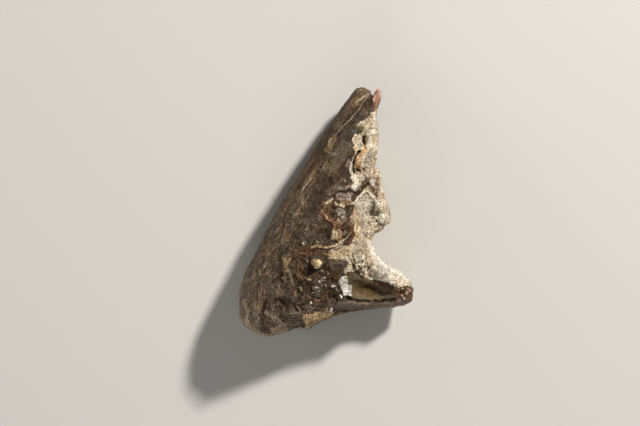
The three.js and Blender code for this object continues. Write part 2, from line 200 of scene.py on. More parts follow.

# Marks on the top, colour by colour. Each has its radius and rise in mm, how strong the colour is, and the
# points of its stroke as x and y in mm.
MARKS = {
    "bone_dark": [
        (1.9, 0, 0.7, 5.8, 19, 4.2, 15.6, 3, 13.4),
        (1.9, 0, 0.85, -0.6, 5.4, -1.8, 3, -2.6, 0.6, -3.8, -2, -4.8, -4.6),
        (1.7, 0, 0.5, 2.4, 17.4, 0.5, 14.8, -0.8, 12.6), (2.4, 0, 0.4, -5.8, 4.4, -7.8, 1.4, -9.6, -1.6),
        (1.4, 0, 0.6, -5.4, -5.6, -7.2, -7, -9, -10, -9.8, -12.5),
        (1.9, 0, 0.75, -9.8, -17.8, -7.4, -18.6, -5.6, -19.4), (1.4, 0, 0.6, -11.4, -13.2, -10.4, -15),
        (1.2, 0, 0.7, 7.4, 21.2, 6.6, 22.4), (2.2, 0, 0.64, -4.4, -2.4, -4.6, -5.4),
        (0.8, 0, 0.6, 5, -13.4, 6.6, -13.4),
    ],
    "bone_grey": [
        (1.7, 0, 0.62, -14.6, -12.5, -15, -16, -14.8, -19, -13.8, -21.8), (0.6, 0, 0.6, 7.5, 19.2, 7.1, 19),
        (1.2, 0, 0.64, 3.6, 12.6, 2.6, 10.4, 1.2, 8.4), (0.9, 0, 0.4, 0.2, 7.2, -0.6, 5.4, -1.4, 4.4),
        (0.9, 0, 0.6, -14.6, -20.6, -13.6, -21.8, -12.8, -22.6),
        (0.9, 0.15, 0.5, 0.6, 3.6, 1.2, 4.4, 2.4, 4.8), (0.1, -0.05, 0.6, 6.7, 1.2, 6.9, 0.6),
        (0.2, -0.1, 0.45, 6.9, -0.6, 6.9, -2.2), (0.16, -0.1, 0.35, 7.7, 0.6, 7.8, 0.3),
    ],
    "horn": [
        (0.24, 0.08, 0.9, 8.9, 22.9, 8, 22.5, 7, 21.9, 6.2, 21.4, 5.7, 21),
        (0.12, 0.12, 0.75, 8.1, 22.3, 7.1, 21.1, 6.1, 19.4, 4.6, 17.7, 3.1, 16.3, 2, 14.9),
        (0.13, 0.05, 0.7, 2, 14.9, 1.4, 13.4, 0.9, 12), (0.26, 0.04, 0.85, 0.9, 14, 0.6, 13.4, 0.5, 12.6),
        (0.16, 0.08, 0.9, -2.9, 6.5, -3.5, 5.5, -4.3, 4.6, -4.7, 3.8),
        (0.17, 0.04, 0.6, -4.5, 2.4, -4.8, 1.4),
        # The next strokes, along the heel's left and lower edges, are pale bone made paler as a painted
        # highlight where these edges catch the light.
        (0.42, 0.12, 0.64, -15.7, -17.2, -15.4, -18.5, -15.1, -19.5, -15.2, -20.6),
        (0.5, 0.05, 0.9, -16.3, -21, -15.8, -22, -14.4, -23, -12.4, -23.9, -10.4, -23.9, -9, -23.3,
          -7.6, -22.7), (0.3, 0, 0.64, -16.2, -13, -16.7, -15, -16.8, -17, -16.6, -20.6, -15.9, -22),
        (0.7, 0, 0.64, -10.4, -22.7, -9, -22.5, -8, -21.9),
        (0.5, 0, 0.64, -15.2, -20.2, -15.2, -21.6, -14.4, -22.5, -13.2, -23.1),
        (0.42, 0.22, 0.5, -11.8, -19.2, -11, -19.6, -10.2, -20, -9.5, -20.6, -8.5, -21, -7.1, -21.1),
        (0.14, 0.1, 0.64, -11.3, -19.7, -10.3, -20.4, -9.3, -21.3, -8, -21.5),
        (0.3, 0.05, 0.5, -14, -22.4, -13.4, -21.4, -13, -20.4),
        (0.13, 0.14, 0.55, -8.6, -19.1, -7.2, -19.5, -6, -19.45, -5, -19.1),
        (0.12, 0.12, 0.5, -8.3, -19.8, -7, -20.15, -5.8, -20.1, -4.9, -19.8),
        (0.14, 0.14, 0.55, -8.2, -20.3, -6.8, -20.7, -5.4, -20.6, -4.5, -20.2),
        (0.14, 0.1, 0.6, -5.4, -12.9, -5, -12.5), (0.22, 0.25, 0.5, -5.6, -18, -5.3, -18.5, -5, -18.8),
        (0.12, 0, 0.6, 7.5, -14.8, 7.55, -16.2, 7.5, -17.8), (0.1, 0, 0.4, 6.6, -15.2, 6.6, -16.4),
        (0.26, 0, 0.4, 4.6, -18.3, 6, -18.3, 9, -18.1, 12.4, -17.9, 15, -17.8),
    ],
    "umber": [
        (0.14, -0.1, 0.6, 7.7, 22.2, 6.8, 21.1, 5.8, 19.5, 4.3, 17.9, 2.8, 16.4),
        (0.26, 0, 0.5, 6.3, 22.7, 6.6, 22.3), (0.22, 0, 0.5, 7.2, 23.3, 7.4, 23),
        (0.13, -0.05, 0.5, 1.3, 13.9, 1, 13), (0.15, -0.1, 0.9, 0.7, 8.7, 0.3, 7.9),
        (0.3, -0.2, 0.6, -11.2, -16.4, -11.7, -17.4, -12.1, -18.5, -12.1, -19.7),
        (0.28, -0.1, 0.35, -14, -13.4, -14.3, -17.4, -14.2, -19.8, -13.6, -21.6),
        (0.18, -0.1, 0.35, -12.9, -13, -13.2, -16.4, -13.1, -20), (0.9, 0, 0.62, -9.2, -18.6, -7.8, -20.6),
        (0.4, -0.25, 0.5, -11.5, -20.9, -10.6, -21.5, -9.8, -21.8),
        (0.8, -0.25, 0.62, -12.1, -22.6, -11.1, -23.1),
        (0.15, -0.2, 0.5, -11.5, -20, -10.5, -20.7, -9.5, -21.5),
        (0.13, -0.2, 0.7, -9.1, -18, -8.5, -18.4, -8.3, -19.1, -8.8, -19.6),
        (0.3, -0.2, 0.6, -9, -16.9, -8.6, -17.3),
        (0.11, -0.2, 0.6, -8.6, -19.5, -7.2, -19.8, -6, -19.8, -5.1, -19.6),
        (0.11, -0.2, 0.6, -8.2, -20.1, -6.8, -20.35, -5.6, -20.3),
        (0.12, -0.2, 0.6, -8, -20.6, -6.6, -20.85, -5, -20.8),
        # This stroke is painted shadow to the left of a small ridge of the lower face.
        (0.32, -0.25, 0.8, -8.3, -11.7, -8.8, -12.6, -8.7, -13.4),
        (0.2, -0.2, 0.7, -6.5, -9.1, -6.8, -9.9, -7.1, -10.6), (0.14, -0.2, 0.5, 3.9, 6.1, 4, 5.9),
        (0.18, -0.2, 0.7, 4.6, 6.8, 4.7, 6.1),
        # This stroke is a brown line, darkened further as painted shadow under the pale lump above it.
        (0.24, -0.2, 0.62, 1.3, 2.8, 1.8, 3.4, 2.7, 3.8, 4, 3.9, 5, 3.6),
        (0.12, -0.1, 0.5, 2.6, 3.1, 3.4, 2.6, 4.2, 3.2), (0.14, -0.12, 0.6, 2, 0.7, 3.2, 0.6, 4.6, 0.8),
        (0.25, -0.25, 0.6, -0.6, 0.5, 0.2, 0.5), (0.2, -0.15, 0.6, -0.5, 0.1, -0.2, -0.5, 0.4, -0.9),
        (0.16, -0.15, 0.6, -0.9, -0.6, -0.3, -1.4, 0.2, -1.9),
        (0.16, -0.15, 0.6, 2.8, -3.6, 3.8, -3.2, 4.6, -2.8),
        (1.2, -0.1, 0.45, -1.4, -4.4, -0.2, -4.6, 0.2, -5.6), (0.3, -0.3, 0.6, -0.4, -6.3, 0.8, -6),
        (0.16, -0.3, 0.7, -1.6, -7.2, -0.4, -7.2, 0.4, -7.3, 1.2, -7),
        (0.16, -0.25, 0.6, 1, -5.9, 2, -5.6, 3, -4.9, 4, -4.4),
        (0.2, -0.25, 0.7, 4.9, -4.6, 4.4, -5.4, 3.8, -6), (0.4, -0.3, 0.6, 1.6, -16.2, 2, -17),
        (0.22, -0.3, 0.7, -0.6, -10.6, 0, -10.2), (0.3, -0.25, 0.6, -6.2, -12.4, -6, -12.9),
        (0.12, -0.05, 0.5, -1.9, -9.8, -1.8, -10.4),
        # This stroke is painted shadow along the nodule's left and lower edge, in a shallow groove.
        (0.2, -0.35, 0.7, -3.1, -9.2, -2.8, -10.4, -2, -11.3, -1.2, -11),
        (0.3, -0.3, 0.7, -6.3, -17.7, -6, -18.5, -5.5, -19), (0.22, -0.2, 0.6, -5.2, -17.9, -4.7, -18.5),
        (0.7, 0, 0.75, 4.9, -12.6, 5.6, -12.9, 6.6, -13.2),
        (0.35, -0.1, 0.55, 9.5, -16.9, 12, -17, 14, -16.7),
        (0.8, 0, 0.3, 5.2, -15.7, 6.8, -16.1, 8.8, -16.4, 11, -16.5),
        # These two strokes paint the shadow in the gap along the trough's lower edge, which they also sink.
        (0.36, -0.45, 1, 3.9, -16.6, 5, -16.9, 6.4, -17.15, 8.2, -17.25),
        (0.34, -0.4, 0.95, 8.2, -17.25, 9.6, -17.4, 11.1, -17.3, 13.2, -17.1),
        (0.3, -0.3, 0.9, 5.6, -11.6, 6.4, -12.2, 7, -12.9),
        (0.2, -0.2, 0.8, 14, -15.5, 14.6, -15.9, 15.4, -16),
        (0.16, -0.2, 0.8, 14.9, -15.1, 15.6, -15.6, 16.3, -15.9),
        (0.25, -0.2, 0.8, 15.4, -16.3, 15.9, -16.8), (0.14, -0.35, 0.8, 6, -9.9, 6.6, -10),
        (0.12, -0.25, 0.8, 5.2, -9, 5.5, -9.9, 5.2, -10.6, 5.6, -11.5),
        (0.3, -0.3, 0.7, 6.3, -10.7, 6.7, -11.6, 7.4, -12.3),
        (0.2, -0.3, 0.85, 4.7, -9.3, 5, -10, 5.2, -10.8),
        (0.16, -0.3, 0.85, 6.9, -10.8, 6.6, -11.5, 6.3, -11.9), (0.13, -0.3, 0.8, 6, -7.2, 5.8, -7.9),
        (0.12, -0.3, 0.8, 4.4, -8.8, 4.1, -8.2), (0.11, -0.15, 0.6, 7.2, -1.4, 7.3, -1.6),
        (0.12, -0.2, 0.6, 7.9, -2.1, 8.1, -2.3), (0.11, -0.15, 0.5, 7.5, -2.8, 7.4, -3),
        (0.1, -0.15, 0.5, 8.3, -1.5, 8.4, -1.7), (0.1, -0.15, 0.5, 8.4, -2.9, 8.2, -3.2),
        (0.1, -0.15, 0.5, 6.9, -0.4, 6.9, -0.6), (0.17, -0.25, 0.9, 4.9, 2.8, 5.7, 3.6, 6.4, 4.2, 7.2, 5.1),
        (0.12, -0.15, 0.7, 6.6, 5.4, 7.1, 5.9), (0.13, -0.15, 0.6, 10.6, -0.2, 10.7, -0.5),
        (0.12, -0.15, 0.6, 10.2, 1.9, 10.4, 1.2), (0.1, -0.1, 0.6, 11.1, -0.5, 11.4, -0.4),
        (0.12, -0.1, 0.6, 9.9, 0.4, 10.1, -0.3), (0.11, -0.15, 0.5, 11.9, -0.6, 12, -1),
        # This stroke sinks the gap on the canal's left and paints it dark as the canal's shadow.
        (0.24, -0.8, 1, 6.4, 11.7, 5.85, 10.9, 5.4, 10, 5.2, 9, 5.15, 8.1, 5.3, 7.5),
        (0.16, -0.5, 0.9, 6.3, 7.8, 6.6, 7.4), (0.3, 0, 0.6, 8.3, 20.2, 8.2, 19.4),
    ],
    "rust": [
        (0.2, 0, 0.3, 4.6, 20.2, 3.8, 18.9, 2.9, 17.6), (0.7, 0, 0.45, -12.2, -22.3, -11.2, -22.7),
        (0.4, 0, 0.35, -12, -22.7, -11.3, -22.8), (0.4, -0.15, 0.4, -9.1, -18.3, -8.6, -19, -8.8, -20.2),
        (0.8, 0, 0.5, -5.6, -11.4, -5, -12.4), (0.7, 0, 0.5, -0.7, -0.1, -0.2, -0.8, 0.4, -1.6),
        (0.3, 0, 0.5, 1.2, -2.9, 2, -3.1, 2.8, -2.9),
        (0.28, 0, 0.62, 5.1, 0.8, 4.9, -0.6, 5.1, -2, 5.2, -3.2, 4.6, -4.4),
        (0.26, 0, 0.6, 1.2, -1.4, 2, -2.6, 3.2, -3), (0.6, 0, 0.45, -5.4, -7.3, -3.4, -7.9, -1.2, -8.1),
        (0.9, 0, 0.35, 3.2, -2.8, 4.4, -3.2, 4.5, -4.2), (0.3, 0, 0.5, 4.2, -2.1, 4.6, -2.9, 4.7, -3.7),
        (0.26, -0.1, 0.62, 5, -3.7, 5.3, -4.5, 5, -5.2, 4.2, -5.9),
        (0.2, 0, 0.55, 5.1, -0.2, 4.6, -1.1, 4.3, -2), (0.4, 0, 0.45, 0.5, -7.9, 1.2, -8.6),
        (0.5, 0.1, 0.45, 1.4, -12, 2, -12.6), (0.7, 0, 0.5, -4.9, -10.2, -5, -12.6),
        (0.5, 0, 0.4, -2.4, -12.4, -1.6, -12.2), (0.4, 0.05, 0.45, -3.6, -16.9, -1.6, -17.5),
        (0.13, 0.15, 0.6, 0.6, -15.2, 0.2, -15.8, 0.2, -16.6, 0.6, -17.2),
        (0.13, 0.15, 0.6, -0.6, -15.4, -0.9, -16.2, -0.6, -17.1),
        (0.55, 0.15, 0.55, -6.1, -15.2, -5.8, -16), (0.45, 0, 0.45, 9, -13.6, 9.6, -14.2),
        (0.4, 0.1, 0.55, 11.6, -15, 13.6, -15.3), (1.3, 0, 0.62, 14.8, -15.6, 15.8, -15.5, 16.2, -16.3),
        (0.2, -0.1, 0.5, 6.4, -3.7, 6.9, -4), (0.2, -0.1, 0.45, 7.5, -3.4, 7.6, -3.9),
        (0.2, 0, 0.35, 6, -3.2, 7.4, -3.2), (0.2, 0, 0.6, 8.1, 5.2, 8.4, 4.9),
        (0.4, -0.2, 0.9, 9.9, 6.7, 9.8, 5.9, 9.9, 4.7, 9.7, 3.6, 9.6, 2.6),
        (0.2, -0.15, 0.65, 9.5, 3.3, 9.6, 2.7), (0.2, 0, 0.4, 11.3, 1.3, 11.6, 0.9),
        (0.12, -0.1, 0.55, 7.2, 16.1, 8.1, 16.3), (0.12, -0.1, 0.6, 6.9, 11.9, 6, 11.2, 5.4, 10.4, 5, 9.4),
        (0.1, -0.1, 0.75, 7, 11.4, 6.5, 10.7, 6.25, 9.9, 6.2, 9.2), (0.13, -0.1, 0.6, 6.1, 11.7, 6.3, 11.7),
        (0.12, -0.1, 0.6, 8.7, 11.9, 8.8, 11.9),
        (0.24, -0.08, 0.7, 9.9, 23.2, 9.75, 22.2, 9.6, 21.2, 9.3, 20.2),
        (0.13, -0.06, 0.7, 10.3, 22.9, 10.1, 21.8), (0.2, 0, 0.8, 9.3, 20.3, 9.1, 19.7),
    ],
    "bone_red": [
        (0.6, 0, 0.7, 5, 21, 3.6, 18.8, 2.4, 17.2), (0.9, 0, 0.6, -2.9, 10.2, -6, 5.2),
        (0.8, 0, 0.5, -10.7, -7, -10.5, -8.4), (1.2, 0, 0.35, -2.4, 4, -1.6, 3),
    ],
    "ochre": [
        (1.1, 0, 0.5, 7.6, 22.8, 6.4, 21.8, 5.4, 20.9), (0.5, 0, 0.5, 6, 23.2, 6.8, 22.9),
        (0.65, 0.04, 0.62, 1.6, 14.2, 0.9, 13.2, 0.2, 11.6), (0.6, 0.05, 0.64, -0.1, 9, 0.6, 8.3),
        (0.5, 0, 0.6, -2.4, 7.4, -2.4, 6), (0.7, 0, 0.35, -11.9, -6.8, -12, -8.4),
        (0.5, 0, 0.3, -15.4, -12.6, -15.9, -15.2), (0.45, 0.1, 0.5, -8.6, -22, -7.4, -22, -6.4, -22.1),
        (0.6, 0, 0.4, -9.4, -15.2, -8, -15.4),
        (0.36, 0.25, 0.85, -8, -9.1, -7.9, -10, -7.8, -11, -7.9, -11.5),
        (0.3, 0.2, 0.8, -7, -9.2, -7.4, -10.1, -7.6, -10.6), (0.7, 0.1, 0.35, -8, -12.6, -7.6, -13.8),
        (0.4, 0.1, 0.55, -0.2, 1.6, 0.5, 1.1), (0.35, 0.1, 0.5, -1, -0.1, -0.9, -0.8),
        (0.5, 0.05, 0.66, -0.5, 1.3, 0.5, 0.9),
        (0.11, 0.1, 0.6, 0.1, -15.4, -0.2, -16.2, 0.1, -17, 0.5, -17),
        (0.1, 0.1, 0.5, -4.2, -15.9, -3.2, -15.7, -2.2, -16),
        # The second stroke of this line is painted shade on the nodule's left side.
        (0.1, 0.1, 0.5, -4, -16.8, -3, -16.4, -2, -16.9), (0.25, -0.1, 0.55, -2.5, -9.6, -2.3, -10.4),
        (0.12, 0.1, 0.7, -6.4, -15.9, -5.9, -16.2, -5.4, -15.9), (0.5, 0, 0.4, -3.8, -20.8, -2.6, -21.2),
        (0.6, 0.05, 0.35, 8.4, -14.9, 9.9, -15.4), (0.12, 0, 0.6, 3.4, -12, 4.4, -11.8, 5.2, -11.8),
        (0.4, 0, 0.35, 6.9, -17.5, 7.6, -17.7), (0.2, 0, 0.35, 8.8, 0.6, 8.9, 0.3),
        (0.4, 0, 0.95, 5.9, 16.5, 6.5, 16.2, 7.1, 16), (0.16, -0.1, 0.6, 7.35, 14.1, 7.5, 13.4),
    ],
    "lilac": [
        (0.3, 0, 0.5, 1.5, 11.2, 1.3, 10.9), (0.24, 0.06, 0.7, -3.6, -3.3, -3.7, -3.5),
        (0.5, 0, 0.45, -4.4, -5.2, -4.1, -5.8), (0.8, 0.05, 0.6, 2.5, 3.1, 3.4, 2.7, 4.5, 2.9),
        (0.18, 0.08, 0.6, 3, 2.8, 3.5, 2.9), (0.45, 0.12, 0.45, 1.9, -0.1, 3, -0.2),
        (0.16, 0.1, 0.35, 2.2, -0.5, 2.9, -0.5, 3.4, -0.7), (0.45, 0, 0.45, 2.6, -0.5, 3.6, -1.3),
        (0.6, 0, 0.55, 2.3, 0.3, 3, 0.1, 3.4, -0.6), (0.24, 0, 0.6, 6, 4.5, 7.2, 5.7, 8.3, 6.7),
        (0.2, 0.05, 0.35, -0.5, -5.1, -0.3, -5.3), (0.34, 0.15, 0.55, -0.9, -13, -0.2, -13.3),
        (0.5, 0.15, 0.5, -2.2, -14.6, -1.4, -14.9, -1.8, -15.4), (0.14, 0.15, 0.6, -2.7, -15.5, -2, -15.4),
        (0.2, 0.15, 0.55, 2, -14.7, 2.3, -15.5), (0.3, 0.1, 0.5, -3.2, -17.8, -2.7, -18.3),
        (0.16, 0.1, 0.4, -3.8, -18.2, -2.6, -18.6, -1.2, -18.4), (0.7, -0.05, 0.5, 5.8, -6.2, 6.6, -6.6),
        (0.65, -0.2, 0.85, 6.8, 2.2, 6.8, 0.4, 6.9, -2.8), (0.45, -0.1, 0.6, 8.6, 2.2, 8.9, 0.8, 8.6, -0.6),
        (0.9, -0.05, 0.8, 7.4, -1.9, 7.9, -2.9), (0.16, -0.1, 0.6, 7.8, 0.5, 7.9, 0.4),
        (0.35, 0, 0.6, 7, -0.8, 7, -2.4), (0.6, 0.1, 0.8, 6.8, 6.2, 7.4, 6.8),
        (0.4, 0, 0.5, 4.3, 9.8, 4.1, 8.9), (0.95, 0, 0.64, 8.3, 11.4, 8, 9.8, 7.8, 8.4),
        (0.2, 0, 0.5, 9.1, 11.6, 9.3, 10.2, 9.1, 9.2),
    ],
    "lip": [
        (0.25, 0, 0.7, -0.5, 8.6, -0.2, 7.9), (0.3, 0.05, 0.6, -4.9, -1.9, -4.9, -2.2),
        (0.7, 0, 0.5, -8.2, -21.6, -6.4, -21.6, -5.2, -21.5),
        (0.5, 0, 0.5, -4.7, -19.4, -3.8, -19.1, -2.4, -19),
        (0.14, 0.1, 0.6, -9.4, -17.6, -8.6, -18, -8, -18.8, -8.1, -19.4),
        (0.3, 0.1, 0.5, -6.6, -21.1, -5.2, -21.2), (0.2, 0.05, 0.5, -14.2, -21, -13.4, -21.9),
        (0.32, 0.2, 0.6, -7.2, -11.3, -6.9, -12.3, -6.5, -13.4, -6.3, -13.9),
        (0.45, 0.15, 0.75, 2.6, 4.4, 3.8, 4.6, 4.7, 4.7), (0.4, 0.1, 0.5, 3, 6.3, 3.6, 5.9),
        (0.3, 0.1, 0.66, 1, -1.5, 1.4, -1.9), (0.3, 0.1, 0.66, 3.6, -3.9, 3.3, -4.3),
        (0.2, 0.05, 0.5, 3, -3.2, 3.6, -3.6), (0.3, 0.1, 0.66, -5.2, -12, -5, -12.4),
        (0.3, 0.1, 0.66, -4.6, -10.9, -4.3, -11.2), (0.3, 0.1, 0.66, -3.5, -16.3, -3, -16.6),
        (0.5, 0, 0.4, 6, -15.6, 6.2, -16.6), (0.5, 0, 0.5, 9.6, -15.2, 11, -15.6),
        (0.14, 0.15, 0.6, 12.2, -14.1, 12.6, -14.5, 13.4, -14.8),
        (0.14, 0.15, 0.5, 11, -15.9, 12.4, -16.3, 13.8, -16.9),
        (0.3, 0, 0.55, 2.6, -18.9, 5, -18.8, 8, -18.6, 11, -18.4, 14.5, -18.2, 16, -17.5),
        (0.12, 0.2, 0.8, 5.8, 3.8, 6.5, 4.5, 7.4, 5.4),
    ],
    "dark": [
        (0.13, -0.15, 0.8, 0, 10.2, -1.1, 8.5, -2.2, 6.9),
        (0.1, -0.08, 0.4, -6.8, -0.1, -8.4, -1.6, -9.4, -3.2),
        (0.09, -0.06, 0.35, -5.6, 3.4, -7.4, 0.6, -9, -2.2), (0.25, -0.3, 0.5, -11.6, -23.2, -11.4, -23.3),
        (0.18, -0.2, 0.55, 1, -13.4, 1.9, -13.3),
        # The stroke below and the first stroke of the next line paint the shadow in the gap along the trough's
        # lower edge.
        (0.2, -0.2, 0.8, 4.2, -16.8, 5.2, -17, 6.4, -17.2, 8, -17.3),
        (0.18, -0.2, 0.7, 8.6, -17.3, 11.1, -17.3), (0.16, -0.3, 0.7, 8.4, -12.3, 8.4, -12.7),
        (0.13, -0.2, 0.7, 15, -15.5, 15.1, -15.7), (0.12, -0.2, 0.7, 16, -15.9, 16, -16.1),
        (0.12, -0.2, 0.6, 15.3, -16.6, 15.4, -16.8), (0.15, -0.45, 0.9, 5, -8.5, 5.1, -8.7),
        (0.15, -0.45, 0.8, 6.8, -9.4, 6.8, -9.6),
        (0.1, -0.3, 0.55, 7.7, -9, 7.6, -9.9, 7.3, -10.5, 7.5, -11.4),
        (0.13, -0.3, 0.6, 6.1, -10.6, 6.3, -11.3), (0.13, -0.4, 0.8, 7.2, -4.3, 7.7, -5),
        (0.1, -0.3, 0.7, 7.2, -4.7, 7.4, -5.3), (0.11, -0.3, 0.6, 4.3, -7.5, 4.7, -7.9),
        (0.13, -0.4, 0.9, 5.6, -9.2, 5.5, -9.7, 5.7, -10.2),
        (0.11, -0.3, 0.85, 7.9, -10.2, 8, -10.9, 7.8, -11.5), (0.1, -0.3, 0.8, 7.2, -6.8, 7.4, -6.9),
        (0.11, -0.25, 0.65, 9.5, -2, 10, -1.3), (0.22, -0.4, 0.8, 9.2, 8.5, 9.4, 8.4),
        (0.12, -0.2, 0.6, 11.6, -1.6, 12, -1.7), (0.21, -0.9, 1, 7.1, 14.3, 7.15, 13.5, 7.35, 12.9),
        (0.16, -0.6, 0.9, 7.3, 14.5, 7.4, 14.4), (0.24, -0.9, 1, 5.85, 8.05, 6.2, 7.85),
        (0.1, -0.2, 0.6, 5.1, 14.5, 5.1, 14.4), (0.14, -0.2, 0.5, 5, 11.7, 5.3, 11.2),
    ],
    "sediment": [
        (0.2, 0.08, 0.6, -4.5, -6.1, -4.3, -6.3), (0.34, 0.16, 0.8, 1.9, 1.4, 2.4, 1.1, 3.2, 1.2),
        (0.3, 0.15, 0.72, 0.1, 1.7, 0.6, 2.1, 1, 2.3), (0.3, 0.1, 0.66, 2.4, -0.6, 2.7, -0.4),
        (0.14, 0.1, 0.6, 1.9, -2, 2.3, -1.8), (0.24, 0.12, 0.7, 1.3, -3.8, 1.4, -4.6, 1.4, -5.2),
        (0.26, 0.14, 0.75, 1.9, -3.9, 1.8, -4.7, 1.8, -5.2), (0.16, 0.1, 0.6, 3.4, -5.2, 3.1, -5.5),
        (0.4, 0.1, 0.5, 3, -6, 2, -6.6, 1, -7), (0.6, 0, 0.6, 1.4, -7.8, 3, -7.6, 4, -8.6),
        (0.24, 0.1, 0.8, -1.4, -9.5, -1, -10, -1.6, -10.8),
        (0.42, 0.2, 0.9, 4.9, -10, 4.4, -11, 3.7, -11.4),
        (0.3, 0.1, 0.6, -5.1, -22.3, -4.5, -22.6, -3.7, -22.6),
        (0.9, 0.7, 0.5, 8.9, -11.5, 10, -12.3, 11.6, -12.9, 13.2, -13.5),
        (0.8, 0.1, 0.85, 9.6, -11.3, 11.2, -12.3, 12.8, -13),
    ],
    "teal": [
        (0.45, -0.1, 0.3, -11, -20.3, -10.4, -21.3), (0.4, 0, 0.5, 3, -0.9, 3.8, -1.9),
        (0.5, 0, 0.5, 2.6, 0.4, 3.3, -0.4), (0.8, 0, 0.3, -0.4, -4.6, 0.2, -5.8),
        (0.6, 0, 0.25, 6.8, -14.4, 7.6, -14.2), (0.5, 0, 0.64, 11, -16.3, 12.4, -16.5),
        (0.45, -0.1, 0.25, 8.1, -9.8, 8.5, -11), (0.5, -0.1, 0.6, 8.8, 1.8, 8.9, 0),
        (0.45, -0.1, 0.9, 5.3, 15.4, 6.6, 15.5),
    ],
    "maroon": [
        (0.6, 0, 0.4, -8.2, -17.2, -7.4, -17.6), (0.5, -0.2, 0.6, -0.4, -2.1, 0.4, -2.3, 1, -2.8),
        (0.5, 0, 0.5, -3.4, -8, -1.4, -8.2), (0.22, -0.1, 0.62, 5.3, 1.2, 5.2, 0.2, 4.6, -0.7, 4, -1.7),
        (0.8, 0.1, 0.62, 0.9, -10.8, 2, -10.9, 3.1, -10.6), (0.8, -0.2, 0.55, -3.6, -13.6, -3.2, -14.8),
        # The strokes from (9.2, -13.5) to (13.4, -15.2) are reddish crust, darkened as painted shadow under
        # the arm's ledge.
        (0.4, 0, 0.5, 9.2, -13.5, 10, -14.3), (0.55, -0.15, 0.85, 10.3, -13.8, 11.2, -14.2, 12.6, -14.6),
        (0.5, 0, 0.5, 11.4, -14.7, 13.4, -15.2), (0.6, -0.1, 0.75, 5.6, 3.1, 6.8, 4.4, 8, 6),
        (0.28, -0.25, 1, 4.9, 2.3, 5.5, 2.9, 6.3, 3.6, 7.2, 4.6, 8, 5.7),
        (0.14, -0.2, 0.85, 6.2, 4.7, 6.8, 5.2, 7.4, 5.9), (0.2, -0.2, 0.8, 7.6, 6.5, 7.8, 6.3),
        (0.14, -0.1, 0.5, 9.3, 11.4, 9.4, 10.2, 9.2, 9.4),
        (0.4, -0.3, 0.9, 8.75, 22.3, 8.6, 21.4, 8.5, 20.5),
        (0.5, -0.1, 0.95, 8.9, 20.9, 8.8, 20, 8.8, 19.4),
        (0.25, -0.3, 0.75, 8.3, 18.9, 8.4, 18.4, 8.8, 18.1),
    ],
    "tan": [
        (0.2, 0.1, 0.6, -7, -9.2, -7.2, -9.6), (0.12, 0.1, 0.6, -5.6, -12.2, -5, -11.7, -4.6, -11.8),
        (0.13, 0.05, 0.5, -7.1, -11.6, -6.8, -12.7), (0.3, 0.1, 0.62, 3.8, 4.5, 4.4, 4.7, 5, 4.8),
        (0.4, 0.1, 0.62, 2.8, 2.1, 4.6, 2.2), (0.38, 0.15, 0.8, 2.8, 1.3, 3.8, 1.4, 4.9, 1.6),
        (0.3, 0.12, 0.75, -0.1, -1, 0.1, -1.4), (0.3, 0.1, 0.7, -0.2, 0.6, -0.6, 0.3),
        (0.14, 0.1, 0.55, 0.9, -2, 1.5, -1.3, 1.8, -0.7), (0.13, 0.1, 0.7, 0.3, -1.6, 0.5, -1.7),
        (0.17, 0.12, 0.65, 1.6, -2.5, 2, -2.1, 2.4, -1.7), (0.3, 0.14, 0.75, 2.4, -1.8, 2.7, -2),
        (0.16, 0.15, 0.5, 2.5, -2.5, 2.7, -2.4), (0.14, 0.1, 0.5, 3.4, -2.7, 4.2, -2.3, 4.8, -1.9),
        (0.7, 0.08, 0.6, 1.5, -4, 2.4, -4, 2.3, -4.9, 1.4, -5), (0.15, 0.2, 0.6, -1.9, -5.8, -1.4, -6),
        (0.28, 0.12, 0.55, -2.7, -6.9, -1.9, -6.6, -0.9, -6.8),
        (0.12, 0.15, 0.7, 5.3, -3.1, 4.9, -3.9, 4.4, -4.4, 3.9, -5, 3.3, -5.3),
        (0.2, 0.12, 0.6, 3.3, -5.4, 2.5, -5.9, 1.8, -6.5, 0.8, -6.9, -0.4, -6.8),
        (0.32, 0.12, 0.75, 5.2, -0.6, 5, -1.6), (0.9, 0, 0.6, 1.2, -8.2, 2.2, -7.9, 3.6, -7.9),
        (0.3, 0.1, 0.5, -0.6, -8, 0.6, -8.2, 1.4, -8.6), (0.3, 0.1, 0.66, -3.4, -12.8, -3.2, -13.1),
        (0.62, 0.55, 0.95, -2.3, -9.6, -1.5, -9.8, -1.8, -10.5), (0.12, 0.15, 0.6, -3.6, -8.9, -3.6, -9.7),
        (0.16, 0.2, 0.75, -6, -15.3, -5.7, -15.8), (0.3, 0.25, 0.64, -4.9, -14.5, -4.8, -15.1),
        (0.14, 0.2, 0.6, -4.7, -12.6, -4.6, -13), (0.13, 0.15, 0.7, -5.8, -11.8, -5.6, -11.8),
        (0.15, 0.2, 0.6, -1.2, -11.2, -0.5, -11.5), (0.12, 0.2, 0.55, -0.2, -10.5, 0.3, -10.2),
        (0.95, 0.2, 0.95, -3.6, -20.6, -2.2, -20.3, -1, -19.9, 0.3, -19.5),
        (0.5, 0, 0.6, -3.6, -22.1, -2, -21.5, 0.6, -20.5, 3, -19.9),
        (0.14, 0.1, 0.5, 14.6, -15.9, 15.2, -16.5, 15.9, -16.4), (0.2, 0.2, 0.8, 15.6, -14.9, 16.3, -15.4),
        (0.34, 0.1, 0.7, 10.2, -11.3, 10.7, -11.6), (0.3, 0.1, 0.66, 12, -12.4, 12.5, -12.6),
        (0.3, 0, 0.66, 8.9, -9.8, 9.2, -10.3), (0.5, 0, 0.5, 8.8, -11.6, 9.8, -12),
        (0.5, 0, 0.7, 5.8, -3.6, 6.4, -4.8, 6.6, -5.4), (0.6, 0, 0.55, 5.8, 1.4, 5.7, -0.6, 6, -2.8),
        (0.13, 0.2, 0.7, 6.4, 3.9, 7.1, 4.8, 7.8, 5.8),
    ],
    "flake": [
